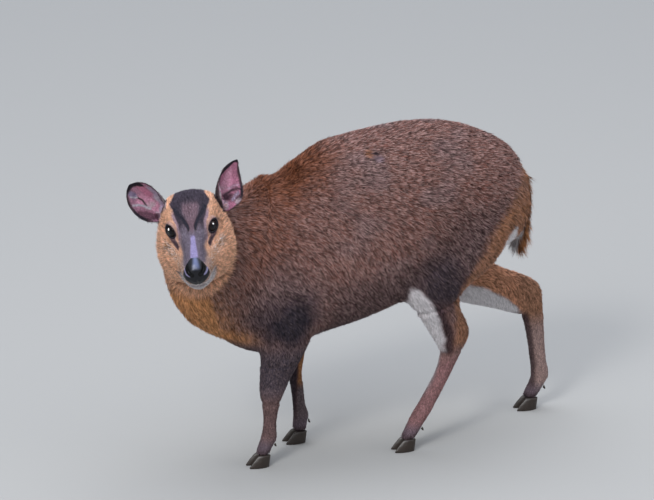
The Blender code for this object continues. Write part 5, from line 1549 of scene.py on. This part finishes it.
def noseMaterial():
    # Wet dark skin with a pebbled grain, with a painted highlight on its flat top and round the nostrils'
    # rims, and painted shade in the nostrils.
    made, tree, shader = newMaterial("noseSkin")
    finish = finishes["nose"]
    place = tree.nodes.new("ShaderNodeTexCoord")
    cells = tree.nodes.new("ShaderNodeTexVoronoi")
    cells.feature = "SMOOTH_F1"
    cells.inputs["Scale"].default_value = 1150
    tree.links.new(place.outputs["Object"], cells.inputs["Vector"])
    bump = tree.nodes.new("ShaderNodeBump")
    bump.invert = True
    bump.inputs["Strength"].default_value = 0.40
    bump.inputs["Distance"].default_value = 0.0004
    tree.links.new(cells.outputs["Distance"], bump.inputs["Height"])
    tree.links.new(bump.outputs[0], shader.inputs["Normal"])
    split = tree.nodes.new("ShaderNodeSeparateXYZ")
    tree.links.new(attribute(tree, "padPaintedLight"), split.inputs[0])
    colour = None
    # Painted highlight on the top and the rims, then painted shade in the nostrils
    for index, name in enumerate(("plateauHighlight", "rim", "nostrilShade")):
        mix = tree.nodes.new("ShaderNodeMix")
        mix.data_type = "RGBA"
        mix.inputs["A"].default_value = (*finish["base"], 1)
        mix.inputs["B"].default_value = (*finish[name], 1)
        tree.links.new(split.outputs[index], mix.inputs["Factor"])
        if colour:
            tree.links.new(colour, mix.inputs["A"])
        colour = mix.outputs["Result"]
    tree.links.new(colour, shader.inputs["Base Color"])
    rough = tree.nodes.new("ShaderNodeMapRange")
    rough.inputs["To Min"].default_value = finish["roughness"]
    rough.inputs["To Max"].default_value = 0.95
    tree.links.new(split.outputs[2], rough.inputs["Value"])
    tree.links.new(rough.outputs[0], shader.inputs["Roughness"])
    shader.inputs["Specular IOR Level"].default_value = 0.26
    shader.inputs["Coat Weight"].default_value = 0.12
    shader.inputs["Coat Roughness"].default_value = 0.20
    return made


def eyeMaterial():
    # Nearly black, with a dark brown iris round a wide pupil.
    made, tree, shader = newMaterial("eyeGloss")
    split = tree.nodes.new("ShaderNodeSeparateXYZ")
    tree.links.new(attribute(tree, "iris"), split.inputs[0])
    ramp = tree.nodes.new("ShaderNodeValToRGB")
    ramp.color_ramp.elements[0].position = 0.42
    ramp.color_ramp.elements[0].color = (*finishes["eye"]["pupil"], 1)
    ramp.color_ramp.elements[1].position = 0.50
    ramp.color_ramp.elements[1].color = (*finishes["eye"]["iris"], 1)
    edge = ramp.color_ramp.elements.new(0.80)
    edge.color = (*finishes["eye"]["pupil"], 1)
    tree.links.new(split.outputs[2], ramp.inputs[0])
    tree.links.new(ramp.outputs[0], shader.inputs["Base Color"])
    shader.inputs["Roughness"].default_value = 0.03
    shader.inputs["Specular IOR Level"].default_value = 0.22
    return made


def plainMaterial(name, finish, grain=0.0, scale=300):
    made, tree, shader = newMaterial(name)
    place = tree.nodes.new("ShaderNodeTexCoord")
    noise = tree.nodes.new("ShaderNodeTexNoise")
    noise.inputs["Scale"].default_value = scale
    noise.inputs["Detail"].default_value = 4
    tree.links.new(place.outputs["Object"], noise.inputs["Vector"])
    ramp = tree.nodes.new("ShaderNodeValToRGB")
    ramp.color_ramp.elements[0].color = (*(np.array(finish["colour"]) * 0.6), 1)
    ramp.color_ramp.elements[1].color = (*(np.array(finish["colour"]) * 1.5), 1)
    tree.links.new(noise.outputs["Fac"], ramp.inputs[0])
    tree.links.new(ramp.outputs[0], shader.inputs["Base Color"])
    if grain:
        bump = tree.nodes.new("ShaderNodeBump")
        bump.inputs["Strength"].default_value = grain
        bump.inputs["Distance"].default_value = 0.0004
        tree.links.new(noise.outputs["Fac"], bump.inputs["Height"])
        tree.links.new(bump.outputs[0], shader.inputs["Normal"])
    shader.inputs["Roughness"].default_value = finish["roughness"]
    return made


def dress(obj, made):
    obj.data.materials.clear()
    obj.data.materials.append(made)
    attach(obj, "root")


skinFinish = coatMaterial("muntjacSkin", finishes["skin"], False)
tuftFinish = coatMaterial("muntjacCoat", finishes["coat"], True)
dress(skin, skinFinish)
for made in coatPieces:
    dress(made, tuftFinish)
dress(nosePad, noseMaterial())
eyeFinish = eyeMaterial()
for made in eyeballs:
    dress(made, eyeFinish)
dress(rims, plainMaterial("lidSkin", finishes["lids"]))
lashFinish = plainMaterial("lashHair", finishes["lash"])
dress(lashHairs, lashFinish)
dress(whiskerHairs, lashFinish)
hornFinish = plainMaterial("hoofHorn", finishes["horn"], 0.3, 220)
for made in horns:
    dress(made, hornFinish)
print("stage: the finishes are on")


# Floor, light and camera

studio = {"floor": (0.36, 0.355, 0.34),
          "sky": [(0.0, (0.22, 0.225, 0.22)), (0.55, (0.40, 0.42, 0.44)), (0.85, (1.25, 1.36, 1.60)),
                  (1.0, (1.5, 1.65, 1.95))],
          "key": {"at": (-2.0, -2.1, 2.3), "size": 1.3, "watts": 46},
          "sun": {"at": (-1.9, -2.1, 2.5), "spread": 10, "strength": 0.75},
          "fill": {"at": (2.4, -1.6, 1.4), "size": 2.0, "watts": 14},
          "top": {"at": (0.2, 0.6, 3.0), "size": 2.4, "watts": 32},
          "catchlights": [((1.53, -1.38, 1.58), 150), ((-2.28, 1.48, 0.50), 150)]}
view = {"aim": (-0.0405, 0.0162, 0.3357), "turn": -20, "rise": 18, "distance": 20.0, "lens": 715.6}

floorMesh = bpy.data.meshes.new("studioFloor")
floorMesh.from_pydata([(-6, -6, 0), (6, -6, 0), (6, 12, 0), (-6, 12, 0)], [], [(0, 1, 2, 3)])
studioFloor = bpy.data.objects.new("studioFloor", floorMesh)
bpy.context.scene.collection.objects.link(studioFloor)
floorFinish, _, floorShader = newMaterial("paleFloor")
floorShader.inputs["Base Color"].default_value = (*studio["floor"], 1)
floorShader.inputs["Roughness"].default_value = 0.9
studioFloor.data.materials.append(floorFinish)

world = bpy.data.worlds.new("studioWorld")
world.use_nodes = True
tree = world.node_tree
place = tree.nodes.new("ShaderNodeTexCoord")
split = tree.nodes.new("ShaderNodeSeparateXYZ")
sky = tree.nodes.new("ShaderNodeValToRGB")
for height, colour in studio["sky"][1:-1]:
    sky.color_ramp.elements.new(height)
for element, (height, colour) in zip(sky.color_ramp.elements, studio["sky"]):
    element.color = (*colour, 1)
tree.links.new(place.outputs["Generated"], split.inputs[0])
tree.links.new(split.outputs[2], sky.inputs[0])
tree.links.new(sky.outputs[0], tree.nodes["Background"].inputs["Color"])
bpy.context.scene.world = world


def aimAt(obj, target):
    obj.rotation_euler = (Vector(target) - obj.location).to_track_quat("-Z", "Y").to_euler()


for name in ("key", "fill", "top"):
    light = bpy.data.lights.new(name + "Light", "AREA")
    light.size = studio[name]["size"]
    light.energy = studio[name]["watts"]
    lamp = bpy.data.objects.new(name + "Light", light)
    lamp.location = studio[name]["at"]
    bpy.context.scene.collection.objects.link(lamp)
    aimAt(lamp, (0, 0, 0.3))

glow = bpy.data.lights.new("sunLight", "SUN")
glow.angle = math.radians(studio["sun"]["spread"])
glow.energy = studio["sun"]["strength"]
sun = bpy.data.objects.new("sunLight", glow)
sun.location = studio["sun"]["at"]
bpy.context.scene.collection.objects.link(sun)
aimAt(sun, (0, 0, 0.3))

# A small lamp for the light in each eye
eyesAlone = bpy.data.collections.new("eyesAlone")
for made in eyeballs:
    eyesAlone.objects.link(made)
for side, (at, watts) in zip((1, -1), studio["catchlights"]):
    light = bpy.data.lights.new("catchlight", "AREA")
    light.shape, light.size, light.energy = "DISK", 1.0, watts
    lamp = bpy.data.objects.new("catchlight", light)
    lamp.location = at
    bpy.context.scene.collection.objects.link(lamp)
    aimAt(lamp, fromHead(eyeFrame(side)[0]))
    lamp.light_linking.receiver_collection = eyesAlone

turn, rise = math.radians(view["turn"]), math.radians(view["rise"])
camera = bpy.data.objects.new("camera", bpy.data.cameras.new("camera"))
camera.data.lens = view["lens"]
camera.data.sensor_width = 36
camera.data.clip_end = 100
back = Vector((math.sin(turn) * math.cos(rise), -math.cos(turn) * math.cos(rise), math.sin(rise)))
camera.location = Vector(view["aim"]) + back * view["distance"]
bpy.context.scene.collection.objects.link(camera)
aimAt(camera, view["aim"])
bpy.context.scene.camera = camera
bpy.context.scene.view_settings.view_transform = "Standard"
